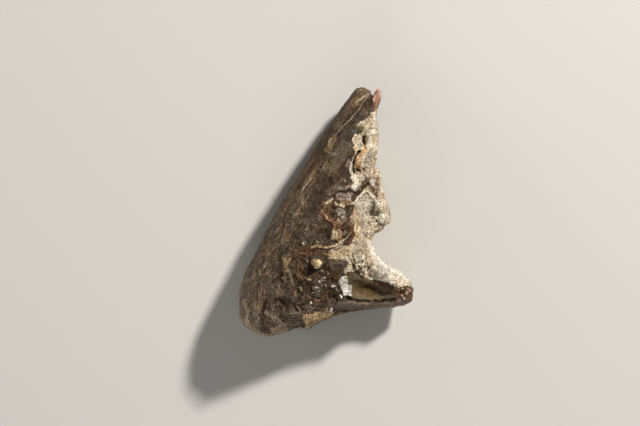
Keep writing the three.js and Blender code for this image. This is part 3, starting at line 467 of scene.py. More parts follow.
        (2.3, 0, 0.9, 1.8, 5.4, 2, 2.6, 1.4, -0.6, 2.2, -3.6),
        (1.6, 0, 0.8, -0.4, -0.6, -0.4, -3.6, -1, -5.6),
    ],
    "pink": [
        (0.3, 0.08, 0.66, 2.2, 2.3, 2.8, 2.2, 3.6, 2.3), (0.2, 0.05, 0.4, 1.4, 1.5, 1.7, 1.2),
        (0.3, 0.12, 0.7, -0.8, -0.1, -0.5, -0.5), (0.3, 0.12, 0.7, 0.3, -1.7, 0.7, -1.9),
        (0.24, 0.1, 0.5, 1.4, -3.1, 2.4, -2.6), (0.22, 0.1, 0.5, 3, -2.4, 3.6, -1.9, 4.2, -1.2),
        (0.34, 0.16, 0.75, 1.7, -2.4, 2.1, -2.1), (0.3, 0.05, 0.66, 4.6, -2.4, 4.9, -2.9),
        (0.4, 0.1, 0.4, -5.4, -11.4, -4.6, -12.6), (0.3, 0.1, 0.66, -1.8, -16.9, -1.4, -17.2),
        (0.3, 0.1, 0.66, 11.1, -12.3, 11.5, -12.5), (0.3, 0, 0.35, 9.8, -11.7, 10.6, -12),
        (0.26, 0, 0.35, 11.9, -12.1, 12.6, -12.6),
    ],
    "red": [
        (0.45, 0, 0.6, 1.3, 2, 1.5, 1.2, 1.9, 0.5), (0.3, -0.1, 0.66, -0.9, -0.9, -0.5, -1.4),
        (0.3, 0, 0.5, 3.4, -2.7, 4.2, -2.4), (0.8, 0, 0.5, -4.8, -7.6, -3, -7.7, -1, -7.9),
        (0.6, 0, 0.5, -3.6, -11.6, -2.4, -11.8), (0.7, 0, 0.45, -4.2, -16.2, -2.2, -16.6),
        (0.5, 0.1, 0.5, -6, -14.1, -5.7, -14.6), (0.2, -0.2, 0.7, 14.2, -15.2, 14.8, -15.6, 14.9, -16.4),
        (0.18, -0.2, 0.6, 15.2, -15, 15.4, -15.8), (0.2, 0, 0.9, 5.2, 2.5, 6, 3.2, 7, 4.2, 7.9, 5.4),
        (0.21, -0.1, 0.85, 9.3, 20.9, 9.1, 20.2, 9.3, 19.5),
    ],
    "olive": [
        (0.4, -0.2, 0.6, 0.8, 0.5, 0.8, -0.8), (0.2, -0.1, 0.55, 2.3, -3.8, 2.3, -5),
        (0.12, -0.1, 0.6, 5.5, -8.6, 6.1, -8, 6.8, -7.2, 7.4, -6.9), (0.2, -0.1, 0.55, 6.2, -8.6, 6.3, -9),
        (0.4, 0, 0.64, 5.3, -9.2, 5.2, -10.4, 5.5, -11.4),
        (0.3, -0.1, 0.55, 8.9, -3.1, 9.9, -2.7, 11.1, -2.4), (0.34, -0.2, 0.6, 9.2, 7.9, 9.3, 7.4),
        (0.26, -0.15, 0.6, 10.9, 0.9, 11, 0.3), (0.2, -0.1, 0.5, 10.4, 3.6, 10.6, 2.8),
    ],
    "white": [
        (0.14, 0.1, 0.35, 3.2, 0.4, 3.3, -0.3, 3, -0.9), (0.13, 0.1, 0.5, 3, -0.9, 3.6, -1.3),
        # The small white specks from here to the arm's tip are white grains painted as glints; the blob at
        # (0.9, -18.8) and the broad strokes on the arm are white mineral.
        (0.13, 0.08, 0.6, 3.2, 2.9, 3.6, 3), (0.13, 0.2, 0.6, 0.4, -11.8, 0.5, -11.8),
        (0.15, 0.2, 0.7, -1.4, -13.3, -1.2, -13.5), (0.13, 0.2, 0.7, -0.4, -12.6, -0.2, -12.8),
        (0.15, 0.2, 0.6, -0.2, -14.1, -0.1, -14.5), (0.16, 0.15, 0.55, -2, -14.5, -1.7, -14.6),
        (0.13, 0.15, 0.7, 1.2, -14.1, 1.6, -14.5), (0.2, 0.3, 0.95, -2.95, -17.3, -2.85, -17.5),
        (0.11, 0.2, 0.6, -4.5, -17, -4.4, -17), (0.24, 0.2, 0.8, 2.7, -16.1, 2.9, -16.4),
        (0.26, 0.2, 0.75, 1, -18.6, 0.8, -19), (0.2, 0.1, 0.45, 15.4, -15.5, 15.8, -15.7),
        (0.16, 0.1, 0.45, 14.6, -16.2, 14.9, -16.5), (0.14, 0.15, 0.8, 14.4, -14.8, 14.8, -14.9),
        (0.12, 0.15, 0.8, 15.3, -15.9, 15.5, -16), (0.12, 0.15, 0.8, 16, -15.1, 16.1, -15.3),
        (0.12, 0.15, 0.7, 15, -16.6, 15.2, -16.8), (0.8, 0, 0.8, 9.8, -11.1, 11.2, -11.9, 12.6, -12.6),
        (0.2, 0.1, 0.8, 8.4, -12.9, 10, -13.1, 11.6, -13.3, 12.7, -13.9, 14, -14.4),
        (0.9, 0, 0.6, 9.8, -9.9, 11.2, -11.2, 13.2, -12.3, 15, -13.4),
        (0.5, 0.1, 0.9, 8, -5.8, 8.8, -7.4, 9.6, -9), (0.2, 0.25, 0.7, 7, -8.8, 7.3, -9.6, 7, -10.6),
        (1.4, 0, 0.8, 7.3, 1.6, 7.6, -0.6), (0.2, 0.45, 1, 5.3, 1.5, 5.9, 2.3, 6.5, 3, 7.1, 3.6, 7.9, 3.8),
        (0.18, 0.3, 1, 7.9, 3.8, 8.5, 3.4, 9.2, 2.6, 9.6, 1.9),
        (0.45, 0.1, 0.7, 7.7, 0.4, 8.1, -0.6, 8, -1.6), (0.4, 0.1, 0.8, 8.6, 5.9, 8.8, 5.2),
        (0.3, 0.1, 0.7, 10.4, 4.6, 10.6, 3.9), (0.55, 0.1, 0.75, 10.5, -0.9, 10.8, -1.7, 11.5, -1),
        # This stroke is the canal's cream core, painted bright as a highlight on its lit right side.
        (0.2, 0.12, 0.75, 8.2, 11.7, 7.5, 10.8, 7.1, 10, 6.9, 9.1, 6.75, 8.5),
        (0.14, 0.1, 0.75, 4.7, 9.4, 4.55, 8.4, 4.6, 7.2), (0.55, 0.2, 0.95, 5.4, 6.5, 5.5, 5.4, 5.3, 4.6),
        (0.45, 0, 0.7, 9, 18.6, 9.1, 16.8, 9.2, 15.4), (0.6, 0.15, 0.62, 8.1, 14.6, 8.3, 13.6, 8.2, 12.6),
        (0.3, 0.05, 0.6, 5.9, 14.4, 5.9, 13.2), (0.25, 0.1, 0.7, 6.6, 14.7, 6.6, 13.6),
        (0.1, 0.08, 0.5, 9.5, 23.1, 9.2, 22.2, 9.1, 21.2),
        (0.1, 0.08, 0.5, 10.1, 23.7, 10.5, 22.7, 10.4, 21.9),
    ],
    "crust": [
        (2.4, 0, 0.8, -4.2, -10.4, -4, -13.6, -4.2, -16.4, -0.6, -16.2, 0.2, -12.4),
        (1.2, 0, 0.5, 13.4, -15, 14, -15.6), (1.2, 0, 0.8, 14.6, -15.6, 16.4, -15.8),
    ],
    "quartz": [
        (0.36, 0.25, 0.75, 1, -14.3, 1.7, -14.2),
    ],
    "rim": [
        (0.75, 0, 0.9, 2.6, -18, 5, -17.8, 8, -17.9, 11, -17.8, 14.5, -17.6),
    ],
    "chalk": [
        (0.3, 0, 0.5, 10.6, -12.7, 12, -13.1, 13.2, -13.7),
        (0.5, 0.1, 1, 8.6, -7, 9.7, -8.9, 11.2, -10.2, 13.1, -11.2, 14.6, -11.8, 16, -13.2),
    ],
    "gold": [
        (0.62, 0.3, 1, 8, 12.1, 7.1, 11.3, 6.6, 10.4, 6.35, 9.5, 6.25, 8.6),
        (0.2, 0, 0.6, 9.6, 22.4, 9.6, 21.6),
    ],
}

# Small ribs of the ochre band, from the left to the right, and the grooves between them.
RIBS, RIB_STEP, RIB_CLIMB, GROOVE = 11, 0.42, 0.13, 0.21
for rib in range(RIBS):
    x, y = -4.2 + RIB_STEP * rib, -20.55 + RIB_CLIMB * rib
    groove = x + GROOVE
    MARKS["sediment"].append((0.12, 0.12, 0.5, x, y + 0.7, x + 0.16, y + 0.2, x + 0.02, y - 0.5))
    MARKS["red"].append((0.1, -0.2, 0.7, groove, y + 0.7, groove + 0.16, y + 0.2, groove + 0.02, y - 0.45))

# Spots of the top where the surface is calmer than the sediment and crust round them: x, y and radius in mm.
CALM = [
    (7.3, 1.2, 2.0), (7.6, -1.0, 1.9), (8.3, -2.6, 1.2), (5.5, 5.4, 1.1), (6.0, 9.4, 1.2), (6.7, 11.0, 1.1),
    (-2.0, -10.1, 1.2), (3.7, -14.4, 1.5), (8.4, 13.6, 1.2), (9.7, 21.8, 1.7), (9.3, 20.0, 1.0),
    (7.0, -14.8, 2.4), (10.4, -15.6, 2.0), (5.0, 8.0, 0.9),
]

# Gaps cut through the rim from above, in mm: beside the splinter, over its point and in the notch.
GAPS = [
    [(8.6, 24.8), (9.75, 24.8), (9.3, 22.9), (8.95, 21.6), (8.8, 22.6)],
    [(10.35, 24.6), (11.6, 24.6), (11.6, 20.4), (10.3, 20.4), (10.75, 22.2), (10.7, 23.2)],
    [(9.0, 8.9), (11.5, 9.2), (11.5, 8.5), (9.6, 8.3), (9.1, 8.2)],
]

# The broad patch of white mineral at the inner end of the trough, seen from above, in mm.
WHITE_PATCH = [
    (2.5, -12.8), (3.9, -12.2), (4.2, -13.2), (4.1, -14.0), (4.9, -14.3), (4.9, -16.3), (4.2, -16.0),
    (3.1, -16.0), (2.9, -14.8), (2.5, -13.8), (2.2, -13.2),
]


def linear(rgb):
    """An sRGB colour of 0 to 255 as the linear one that shaders use."""
    share = np.array(rgb) / 255
    return tuple(np.where(share < 0.04045, share / 12.92, ((share + 0.055) / 1.055) ** 2.4))


def colour_property(key):
    rgb, use = COLOURS[key]
    name = key.replace("_", " ").capitalize()
    return FloatVectorProperty(name=name, description=use, default=linear(rgb), min=0, max=1, subtype="COLOR")


class FossilColours(bpy.types.PropertyGroup):
    """Colours of the bone, the sediment and their stains, some of which also paint shade, shadows and
    highlights.
    """

    __annotations__ = {key: colour_property(key) for key in COLOURS}


class FossilSizes(bpy.types.PropertyGroup):
    """Sizes of the surface and its relief."""

    grid: FloatProperty(
        name="Grid", description="Size of the faces of the finished surface", default=0.21 * MM,
        min=0.1 * MM, unit="LENGTH")
    striae: FloatProperty(
        name="Striae", description="Depth of the lines along the flank", default=0.16 * MM, unit="LENGTH")
    sponge: FloatProperty(
        name="Sponge", description="Depth of the pores in the sediment", default=0.29 * MM, unit="LENGTH")
    lumps: FloatProperty(
        name="Lumps", description="Height of the lumps of the crushed face", default=0.9 * MM, unit="LENGTH")


class FossilStage(bpy.types.PropertyGroup):
    """The floor and the camera."""

    floor_size: FloatProperty(name="Floor size", description="Side of the floor", default=8.0, unit="LENGTH")
    camera_height: FloatProperty(
        name="Camera height", description="Height of the camera over the floor", default=0.6, unit="LENGTH")
    lens: FloatProperty(
        name="Lens", description="Focal length of the camera in mm", default=172.6, unit="CAMERA")
    floor_colour: FloatVectorProperty(
        name="Floor", description="Colour of the floor", default=(0.6, 0.59, 0.57), min=0, max=1,
        subtype="COLOR")


# Fields over the surface: each takes points in mm and gives one number for each.


def smooth(value, low, high):
    share = np.clip((value - low) / (high - low), 0, 1)
    return share * share * (3 - 2 * share)


def offset(seed):
    """Where in the noise a field begins, so that each seed gives a field of its own."""
    return Vector((seed, 3.1 * seed, 7.7 * seed))


def number_of(centres):
    """A scattered number of 0 to 1 for the grain round each centre."""
    return np.modf(np.abs(np.sin(centres @ SCATTER) * SPREAD))[0]


def grains(points, size, seed=0.0):
    """Noise with grains of a size in mm, about -1 to 1."""
    shift = offset(seed)
    return np.array([noise.noise(Vector(p) / size + shift) for p in points])


def cells(points, size, seed):
    """Scattered cells of a size in mm: nearness to a centre and an edge, and a number for the cell."""
    shift = offset(seed)
    found = [noise.voronoi(Vector(p) / size + shift) for p in points]
    near = np.array([distances[0] for distances, _ in found])
    edge = np.array([distances[1] for distances, _ in found]) - near
    return near, edge, number_of(np.array([places[0] for _, places in found]))


def distance_to(path, xy):
    """Distance from each point of xy to a path."""
    nearest = np.full(len(xy), np.inf)
    for a, b in zip(np.array(path[:-1]), np.array(path[1:])):
        run = b - a
        share = np.clip((xy - a) @ run / max(run @ run, 1e-9), 0, 1)
        nearest = np.minimum(nearest, np.hypot(*(xy - a - share[:, None] * run).T))
    return nearest


def depth_in(outline, xy):
    """Depth of each point of xy inside a closed outline, negative outside it."""
    inside = np.zeros(len(xy), bool)
    x, y = xy.T
    for (ax, ay), (bx, by) in zip(outline, outline[1:] + outline[:1]):
        if ay != by:
            inside ^= ((ay > y) != (by > y)) & (x < (bx - ax) * (y - ay) / (by - ay) + ax)
    return np.where(inside, 1, -1) * distance_to(outline + outline[:1], xy)


def inward_of(points):
    """Distance of each point from the flank's edge, across the bone as seen from above."""
    edge = np.array(FLANK_EDGE)[::-1]
    return points[:, 0] - np.interp(points[:, 1], edge[:, 1], edge[:, 0])


def from_flank(points):
    """Distance of each point from the flank's edge, round its side to the top or the back."""
    inward = inward_of(points)
    angle = np.arctan2(points[:, 2] - WAIST, FLANK_ROUND - np.minimum(inward, FLANK_ROUND - 0.1))
    return FLANK_ROUND * angle + np.sign(points[:, 2] - WAIST) * np.maximum(0, inward - FLANK_ROUND)


def grain_run(points):
    """Where each point is along, across and round the bone, in mm, so that lines follow it."""
    return np.column_stack([points[:, 1], inward_of(points) * ACROSS, points[:, 2]])


def facing_up(normals, low=0.0, high=0.35):
    """How far each point belongs to the top, by the lean of its normal."""
    return smooth(normals[:, 2], low, high)


def read(piece):
    """Places of the piece's vertices in mm, and their normals."""
    count = len(piece.data.vertices)
    places, normals = np.empty(count * 3, np.float32), np.empty(count * 3, np.float32)
    piece.data.vertices.foreach_get("co", places)
    piece.data.vertices.foreach_get("normal", normals)
    return places.reshape(-1, 3).astype(float) / MM, normals.reshape(-1, 3).astype(float)


def gathered(xy, size, seed, share):
    """Plan positions moved a share of the way to the middle of their grain, and a number for the grain."""
    shift = offset(seed)
    middles = np.array([noise.voronoi(Vector((x, y, 0)) / size + shift)[1][0] for x, y in xy])
    return xy + share * ((middles - shift)[:, :2] * size - xy), number_of(middles)


def drawn(points):
    """Plan positions of the points, shifted a little so that drawn lines and spots come out uneven.

    Lines are only bent. Spots take the outlines of grains, and lose some of the grains at their edge.
    """
    flat = points * (1, 1, 0)
    bend = np.column_stack([grains(flat, 1.2, 1), grains(flat, 1.2, 2)])
    shake = np.column_stack([grains(flat, 0.4, 3), grains(flat, 0.4, 4)])
    line = points[:, :2] + LINE_SWAY[0] * bend + LINE_SWAY[1] * shake
    spot = points[:, :2] + SPOT_SWAY[0] * bend + SPOT_SWAY[1] * shake
    spot, pick = gathered(spot, SPOT_GRAIN, 71, GATHER)
    return line, spot, grains(flat, 0.7, 41), 0.72 + 0.6 * pick


def reach_of(key, mark, places):
    """How far each point lies from a stroke, in units of its radius."""
    radius, _, strength, *path = mark
    path = np.reshape(path, (-1, 2))
    line, spot, width, grain = places
    if radius < LINE_RADIUS or strength < FAINT or key in LINED:
        return distance_to(path, line) / radius + 0.45 * width * min(1, LINE_RADIUS / radius)
    return (distance_to(path, spot) / radius + 0.3 * width * min(1, 0.5 / radius)) / grain


def strokes(key, places, ragged=0.0, soft=0.35):
    """How strongly the marks of a colour cover each point."""
    share = np.zeros(len(places[0]))
    for mark in MARKS.get(key, ()):
        reach = reach_of(key, mark, places) + ragged
        share = np.maximum(share, mark[2] * (1 - smooth(reach, 1 - soft, 1 + soft)))
    return share


def zones(points, normals):
    """Shares of sediment, crust, broken bone and the trough's floor on each vertex. The rest is smooth."""
    places = drawn(points)
    xy = places[1]
    top = facing_up(normals)
    flank = 1 - smooth(np.abs(from_flank(points)), *FLANK_END)
    pale = smooth(depth_in(SEDIMENT, xy), -0.15, 0.15) * top
    side = (1 - top) * (1 - flank) * smooth(points[:, 1] + points[:, 0] * 0.7, -12.5, -8.5)
    rough = smooth(grains(points, 3.5, 5), -0.35, 0.1)
    sediment = np.maximum(pale, side * np.maximum(rough, smooth(points[:, 2], 1.5, 5)))
    ragged = 1.2 * (0.6 * grains(points, 0.7, 18) + 0.6 * grains(points, 1.8, 19))
    crust = strokes("crust", places, ragged, 0.3) / CRUST_STRENGTH * top * (1 - sediment)
    flake = strokes("flake", places, ragged, 0.4) * top * (1 - sediment)
    trough = smooth(depth_in(TROUGH, xy), -0.15, 0.15) * top
    return sediment, crust, flake, trough, places


def neighbours_mean(piece, points, rounds):
    """The points after each has moved to the mean of its neighbours, for a number of rounds."""
    edges = np.empty(len(piece.data.edges) * 2, np.int32)
    piece.data.edges.foreach_get("vertices", edges)
    a, b = edges.reshape(-1, 2).T
    count = np.bincount(a, minlength=len(points)) + np.bincount(b, minlength=len(points))
    moved = points.copy()
    for _ in range(rounds):
        total = np.column_stack([
            np.bincount(a, moved[b, axis], len(points)) + np.bincount(b, moved[a, axis], len(points))
            for axis in range(3)])
        moved = total / count[:, None]
    return moved


# Steps of the modelling.


def only(piece):
    bpy.ops.object.select_all(action="DESELECT")
    piece.select_set(True)
    bpy.context.view_layer.objects.active = piece


def modify(piece, kind, **settings):
    """Adds a modifier and applies it."""
    modifier = piece.modifiers.new(kind.lower(), kind)
    for key, value in settings.items():
        setattr(modifier, key, value)
    bpy.ops.object.modifier_apply(modifier=modifier.name)


def face_outwards(merge=False):
    """Turns the faces of the active piece outwards, after its doubles are merged where it has them."""
    bpy.ops.object.mode_set(mode="EDIT")
    bpy.ops.mesh.select_all(action="SELECT")
    if merge:
        bpy.ops.mesh.remove_doubles(threshold=0.001 * MM)
    bpy.ops.mesh.normals_make_consistent(inside=False)
    bpy.ops.object.mode_set(mode="OBJECT")


def displace(piece, weights, reach, direction):
    """Moves the surface by a reach in mm, by the weight of each vertex from 0 to 1."""
    group = piece.vertex_groups.new(name="moved")
    levels = np.round(np.clip(weights, 0, 1) * LEVELS).astype(int)
    for level in np.unique(levels[levels > 0]):
        group.add(np.flatnonzero(levels == level).tolist(), level / LEVELS, "REPLACE")
    modify(piece, "DISPLACE", vertex_group="moved", strength=reach * MM, mid_level=0, direction=direction)
    piece.vertex_groups.clear()


def store(piece, name, values):
    """Stores one number for each vertex for the shader."""
    attribute = piece.data.attributes.new(name, "FLOAT", "POINT")
    attribute.data.foreach_set("value", values.astype(np.float32))


def copy_of_node():
    """A merged copy of the CAD node."""
    only(frame["nodes"][NODE])
    bpy.ops.object.duplicate()
    piece = bpy.context.active_object
    piece.name = piece.data.name = PIECE
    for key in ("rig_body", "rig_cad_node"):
        if key in piece:
            del piece[key]
    piece.parent = None
    piece.data.materials.clear()
    face_outwards(merge=True)
    return piece


def cut_gaps(piece):
    """Cuts the gaps of the rim out of the merged copy."""
    for outline in GAPS:
        bpy.ops.object.select_all(action="DESELECT")
        bpy.ops.mesh.primitive_cylinder_add(
            vertices=len(outline), radius=MM, depth=CUTTER_HEIGHT * MM, location=(0, 0, CUTTER_MIDDLE * MM))
        bpy.ops.object.transform_apply(location=True)
        cutter = bpy.context.active_object
        centre = np.mean(outline, axis=0)
        around = sorted(outline, key=lambda corner: np.arctan2(*(np.array(corner) - centre)))
        for vertex in cutter.data.vertices:
            turn = np.arctan2(vertex.co.x, vertex.co.y) % (2 * np.pi)
            corner = around[round(turn / (2 * np.pi) * len(outline)) % len(outline)]
            vertex.co.x, vertex.co.y = corner[0] * MM, corner[1] * MM
        only(cutter)
        face_outwards()
        only(piece)
        modify(piece, "BOOLEAN", object=cutter, operation="DIFFERENCE", solver="EXACT")
        bpy.data.objects.remove(cutter)


def calmness(xy):
    """How calm the surface is at each point, 0 to 1."""
    calm = np.zeros(len(xy))
    for x, y, radius in CALM:
        calm = np.maximum(calm, 1 - smooth(np.hypot(*(xy - (x, y)).T), 0.6 * radius, 1.2 * radius))
    return calm


def push(piece, rise, direction="NORMAL"):
    """Lifts the surface where the rise in mm is positive, and sinks it where it is negative."""
    for sign in (1, -1):
        reach = max(float((sign * rise).max()), 1e-3)
        displace(piece, sign * rise / reach, sign * reach, direction)


def within_box(rise, points, normals):
    """The rise, kept from lifting the surface out of the solid's height."""
    low, high = CAD_BOX[0][2] / MM, CAD_BOX[1][2] / MM
    over = (high - ROOM_OVER - points[:, 2]) / np.maximum(normals[:, 2], STEEPEST)
    under = (points[:, 2] - low - ROOM_UNDER) / np.maximum(-normals[:, 2], STEEPEST)
    return np.minimum(rise, np.minimum(over, under))


def marks_rise(points, normals):
    """Rise of the marks of the top, in mm."""
    line, spot, width, _ = drawn(points)
    places = line, 0.5 * (line + spot), width, 1.0
    rise = np.zeros(len(points))
    for key, marks in MARKS.items():
        for mark in marks:
            if mark[1]:
                rise += mark[1] * (1 - smooth(reach_of(key, mark, places), 0.3, 1.2))
    rise += PATCH_RISE * smooth(depth_in(WHITE_PATCH, spot), -0.12, 0.12)
    rise = np.clip(rise, *RISE_LIMITS) * facing_up(normals, 0.05, 0.45)
    return within_box(rise, points, normals)


def stone_rise(points, normals, sizes):
    """Rise of the bone's lines, the sediment's crumbs and pits and the crust's rubble, in mm."""
    sediment, crust, flake, trough, _ = zones(points, normals)
    bone = 1 - np.maximum(sediment, np.maximum(crust, flake))
    run = grain_run(points)
    lines = grains(run / (6, 1, 1), 0.8, 11) + 0.6 * grains(run / (3, 1, 1), 0.36, 12)
    lines += 0.8 * grains(points, 0.4, 13)
    rise = bone * (1 - 0.8 * trough) * sizes.striae / MM * lines
    crumbs = grains(points, 1.9, 20) + 0.8 * grains(points, 0.85, 21) + 0.5 * grains(points, 0.42, 22)
    near, _, pick = cells(points, 1.15, 23)
    pits = (pick < 0.4) * (1 - smooth(near, 0.12, 0.34))
    _, edge, pick = cells(points + 0.2 * grains(points, 0.5, 27)[:, None], 0.8, 28)
    crumbs += 0.8 * (pick - 0.5) * smooth(edge, 0, 0.25)
    rise += sediment * sizes.sponge / MM * (crumbs - 1.4 * pits)
    _, edge, pick = cells(points + 0.25 * grains(points, 0.6, 24)[:, None], 1.05, 25)
    _, edge_small, pick_small = cells(points, 0.48, 26)
    rubble = 0.6 * (pick - 0.5) * smooth(edge, 0, 0.3)
    rubble += 0.6 * (pick_small - 0.5) * smooth(edge_small, 0, 0.25)
    wild = 1 - CALMED * calmness(points[:, :2])
    rise = wild * (rise + (0.75 * crust + 0.5 * flake) * sizes.lumps / MM * rubble)
    return within_box(rise, points, normals)


def point_splinter(piece):
    """Draws the end of the splinter out to a point."""
    x, y, _ = read(piece)[0].T
    end = smooth(y, 21.6, 23.0) * smooth(x, 9.2, 10.1) * (1 - 0.5 * smooth(x, 10.2, 10.7))
    displace(piece, end, POINT_REACH, "Y")


def make_skull(sizes, colours):
    piece = copy_of_node()
    cut_gaps(piece)
    modify(piece, "SUBSURF", levels=2, render_levels=2)
    modify(piece, "REMESH", mode="VOXEL", voxel_size=sizes.grid)
    modify(piece, "SMOOTH", factor=0.5, iterations=3)
    point_splinter(piece)
    push(piece, marks_rise(*read(piece)), "Z")
    push(piece, stone_rise(*read(piece), sizes))
    modify(piece, "REMESH", mode="VOXEL", voxel_size=FINER * sizes.grid)
    modify(piece, "SMOOTH", factor=0.35, iterations=1)
    triangles = 2 * len(piece.data.vertices)
    modify(piece, "DECIMATE", ratio=min(1, TRIANGLES / triangles))
    paint(piece)
    piece.data.materials.append(fossil_material(colours))
    bpy.ops.object.shade_smooth()
    return piece


def paint(piece):
    """Stores what the material reads: zones, stains with some painted shade and highlights, the run of the
    grain, and how hollow the surface is.
    """
    points, normals = read(piece)
    attribute = piece.data.attributes.new("grain", "FLOAT_VECTOR", "POINT")
    attribute.data.foreach_set("vector", grain_run(points).astype(np.float32).ravel())
    sediment, crust, flake, trough, places = zones(points, normals)
    top = facing_up(normals)
    bare = 1 - sediment
    extra = {
        "bone_warm": 0.8 * bare * smooth(points[:, 1] + 3 * grains(points, 5.0, 51), -8, 14),
        "bone_red": 0.45 * bare * smooth(grains(points, 3.0, 8), 0.1, 0.5),
        "bone_grey": 0.5 * bare * smooth(grains(points, 2.5, 9), 0.1, 0.5),
        "bone_dark": bare * np.maximum(
            # Painted shade: the first term darkens the sides and the underside, which turn away from the top.
            # The second is the dark inner bone beside the crease.
            0.5 * (1 - smooth(normals[:, 2], -0.6, 0.1)),
            0.8 * top * smooth(from_flank(points) + 1.5 * grains(points, 2.5, 52), 11.0, 15.0)),
        "olive": trough,
        "pink": smooth(depth_in(SPLINTER, places[0]), -0.1, 0.1) * top,
        "quartz": smooth(depth_in(WHITE_PATCH, places[1]), -0.08, 0.08) * top,
        "tan": sediment * np.maximum(0.5 * (1 - top), 0.6 * smooth(grains(points, 1.6, 10), 0.1, 0.5)),
    }
    store(piece, "sediment_fill", sediment)
    store(piece, "crust", crust)
    store(piece, "flake", flake)
    for key in LAYERS:
        share = strokes(key, places) * top
        if key.startswith("bone"):
            share = share * bare
        store(piece, key, np.maximum(share, extra.get(key, 0)))
    near, far = (
        np.einsum("ij,ij->i", neighbours_mean(piece, points, rounds) - points, normals)
        for rounds in (NEAR, FAR))
    store(piece, "hollow", smooth(near, 0.0, 0.09) * 0.5 + smooth(far, 0.0, 0.4) * 0.5)
    store(piece, "ridge", smooth(-near, 0.0, 0.08) * 0.5 + smooth(-far, 0.0, 0.4) * 0.5)


# Shader node groups. Sizes are in mm on the surface.


class Wires:
    """Adds nodes to a tree and links them."""

    def __init__(self, tree):
        self.tree = tree

    def add(self, kind, inputs=(), **settings):
        node = self.tree.nodes.new(kind)
        for key, value in settings.items():
            setattr(node, key, value)
        for key, value in dict(inputs).items():
            if isinstance(value, bpy.types.NodeSocket):
                self.tree.links.new(value, node.inputs[key])
            else:
                node.inputs[key].default_value = value
        return node

    def math(self, operation, a, b=0.0, clamp=False):
        return self.add("ShaderNodeMath", {0: a, 1: b}, operation=operation, use_clamp=clamp).outputs[0]

    def times(self, a, b):
        return self.math("MULTIPLY", a, b)

    def step(self, value, low, high, to_low=0.0, to_high=1.0):
        limits = {"From Min": low, "From Max": high, "To Min": to_low, "To Max": to_high}
        node = self.add("ShaderNodeMapRange", {"Value": value, **limits}, interpolation_type="SMOOTHSTEP")
        return node.outputs["Result"]

    def mix(self, share, a, b, blend="MIX"):
        # The node's sockets for colours share their names with those for numbers, so they go by their place.
        node = self.add("ShaderNodeMix", {0: share, 6: a, 7: b}, data_type="RGBA", blend_type=blend)
        return node.outputs[2]

    def noise(self, vector, scale, detail=3.0, roughness=0.6):
        given = {"Vector": vector, "Scale": scale, "Detail": detail, "Roughness": roughness}
        return self.add("ShaderNodeTexNoise", given).outputs["Fac"]


def new_group(name, inputs, outputs):
    """A shader node group with its sockets: what adds nodes to it, and what it is given."""
    group = bpy.data.node_groups.new(name, "ShaderNodeTree")
    for socket, value in inputs.items():
        kind = "NodeSocketFloat" if isinstance(value, float) else "NodeSocketColor"
        group.interface.new_socket(name=socket, in_out="INPUT", socket_type=kind).default_value = value
    for socket in outputs:
        kind = "NodeSocketColor" if socket == "Colour" else "NodeSocketFloat"
        group.interface.new_socket(name=socket, in_out="OUTPUT", socket_type=kind)
    return Wires(group), group.nodes.new("NodeGroupInput").outputs


def swayed(w, reach, size):
    """Object coordinates that sway by a reach in mm over a size in mm."""
    place = w.add("ShaderNodeTexCoord").outputs["Object"]
    given = {"Vector": place, "Scale": 1 / (size * MM), "Detail": 2.0}
    sway = w.add("ShaderNodeTexNoise", given).outputs["Color"]
    sway = w.add("ShaderNodeVectorMath", {0: sway, 1: (0.5, 0.5, 0.5)}, operation="SUBTRACT").outputs[0]
    sway = w.add("ShaderNodeVectorMath", {0: sway, "Scale": reach * MM}, operation="SCALE").outputs[0]
    return w.add("ShaderNodeVectorMath", {0: place, 1: sway}, operation="ADD").outputs[0]


def speckle_group():
    """Ragged grains: how much of the surface they cover and how large they are in mm."""
    w, given = new_group("mineral_grains", {"Size": 0.4, "Cover": 0.3}, ("Share", "Shade", "Height"))
    scale = w.math("DIVIDE", 1 / MM, given["Size"])
    found = w.add("ShaderNodeTexVoronoi", {"Vector": swayed(w, 0.5, 0.38), "Scale": scale, "Randomness": 1.0})
    pick = w.add("ShaderNodeSeparateColor", {"Color": found.outputs["Color"]})
    chosen = w.math("LESS_THAN", pick.outputs["Red"], given["Cover"])
    w.add("NodeGroupOutput", {
        "Share": w.times(chosen, w.step(found.outputs["Distance"], 0.34, 0.5, 1.0, 0.0)),
        "Shade": pick.outputs["Green"],
        "Height": w.step(found.outputs["Distance"], 0.1, 0.6, 1.0, 0.0),
    })
    return w.tree


def crack_group():
    """A net of thin broken cracks, with meshes of a size in mm."""
    w, given = new_group("crack_net", {"Size": 0.9, "Width": 0.1, "Cover": 0.5}, ("Lines",))
    place = swayed(w, 0.9, 0.8)
    scale = w.math("DIVIDE", 1 / MM, given["Size"])
    edge = w.add("ShaderNodeTexVoronoi", {"Vector": place, "Scale": scale}, feature="DISTANCE_TO_EDGE")
    line = w.step(edge.outputs["Distance"], 0.0, given["Width"], 1.0, 0.0)
    low = w.math("SUBTRACT", 0.65, w.times(given["Cover"], 0.3))
    present = w.step(w.noise(place, 0.9 / MM), low, w.math("ADD", low, 0.08))
    w.add("NodeGroupOutput", {"Lines": w.times(line, present)})
    return w.tree


GRAIN_SIZES = ("Length", "Width", "Width")  # along, across and round the bone


def grain_group():
    """Lines that run along the bone."""
    w, given = new_group("bone_grain", {"Length": 6.0, "Width": 0.35}, ("Lines",))
    run = w.add("ShaderNodeAttribute", attribute_name="grain").outputs["Vector"]
    parts = w.add("ShaderNodeSeparateXYZ", {"Vector": run}).outputs
    sides = {axis: w.math("DIVIDE", parts[axis], given[size]) for axis, size in zip("XYZ", GRAIN_SIZES)}
    place = w.add("ShaderNodeCombineXYZ", sides).outputs["Vector"]
    w.add("NodeGroupOutput", {"Lines": w.noise(place, 1.0)})
    return w.tree


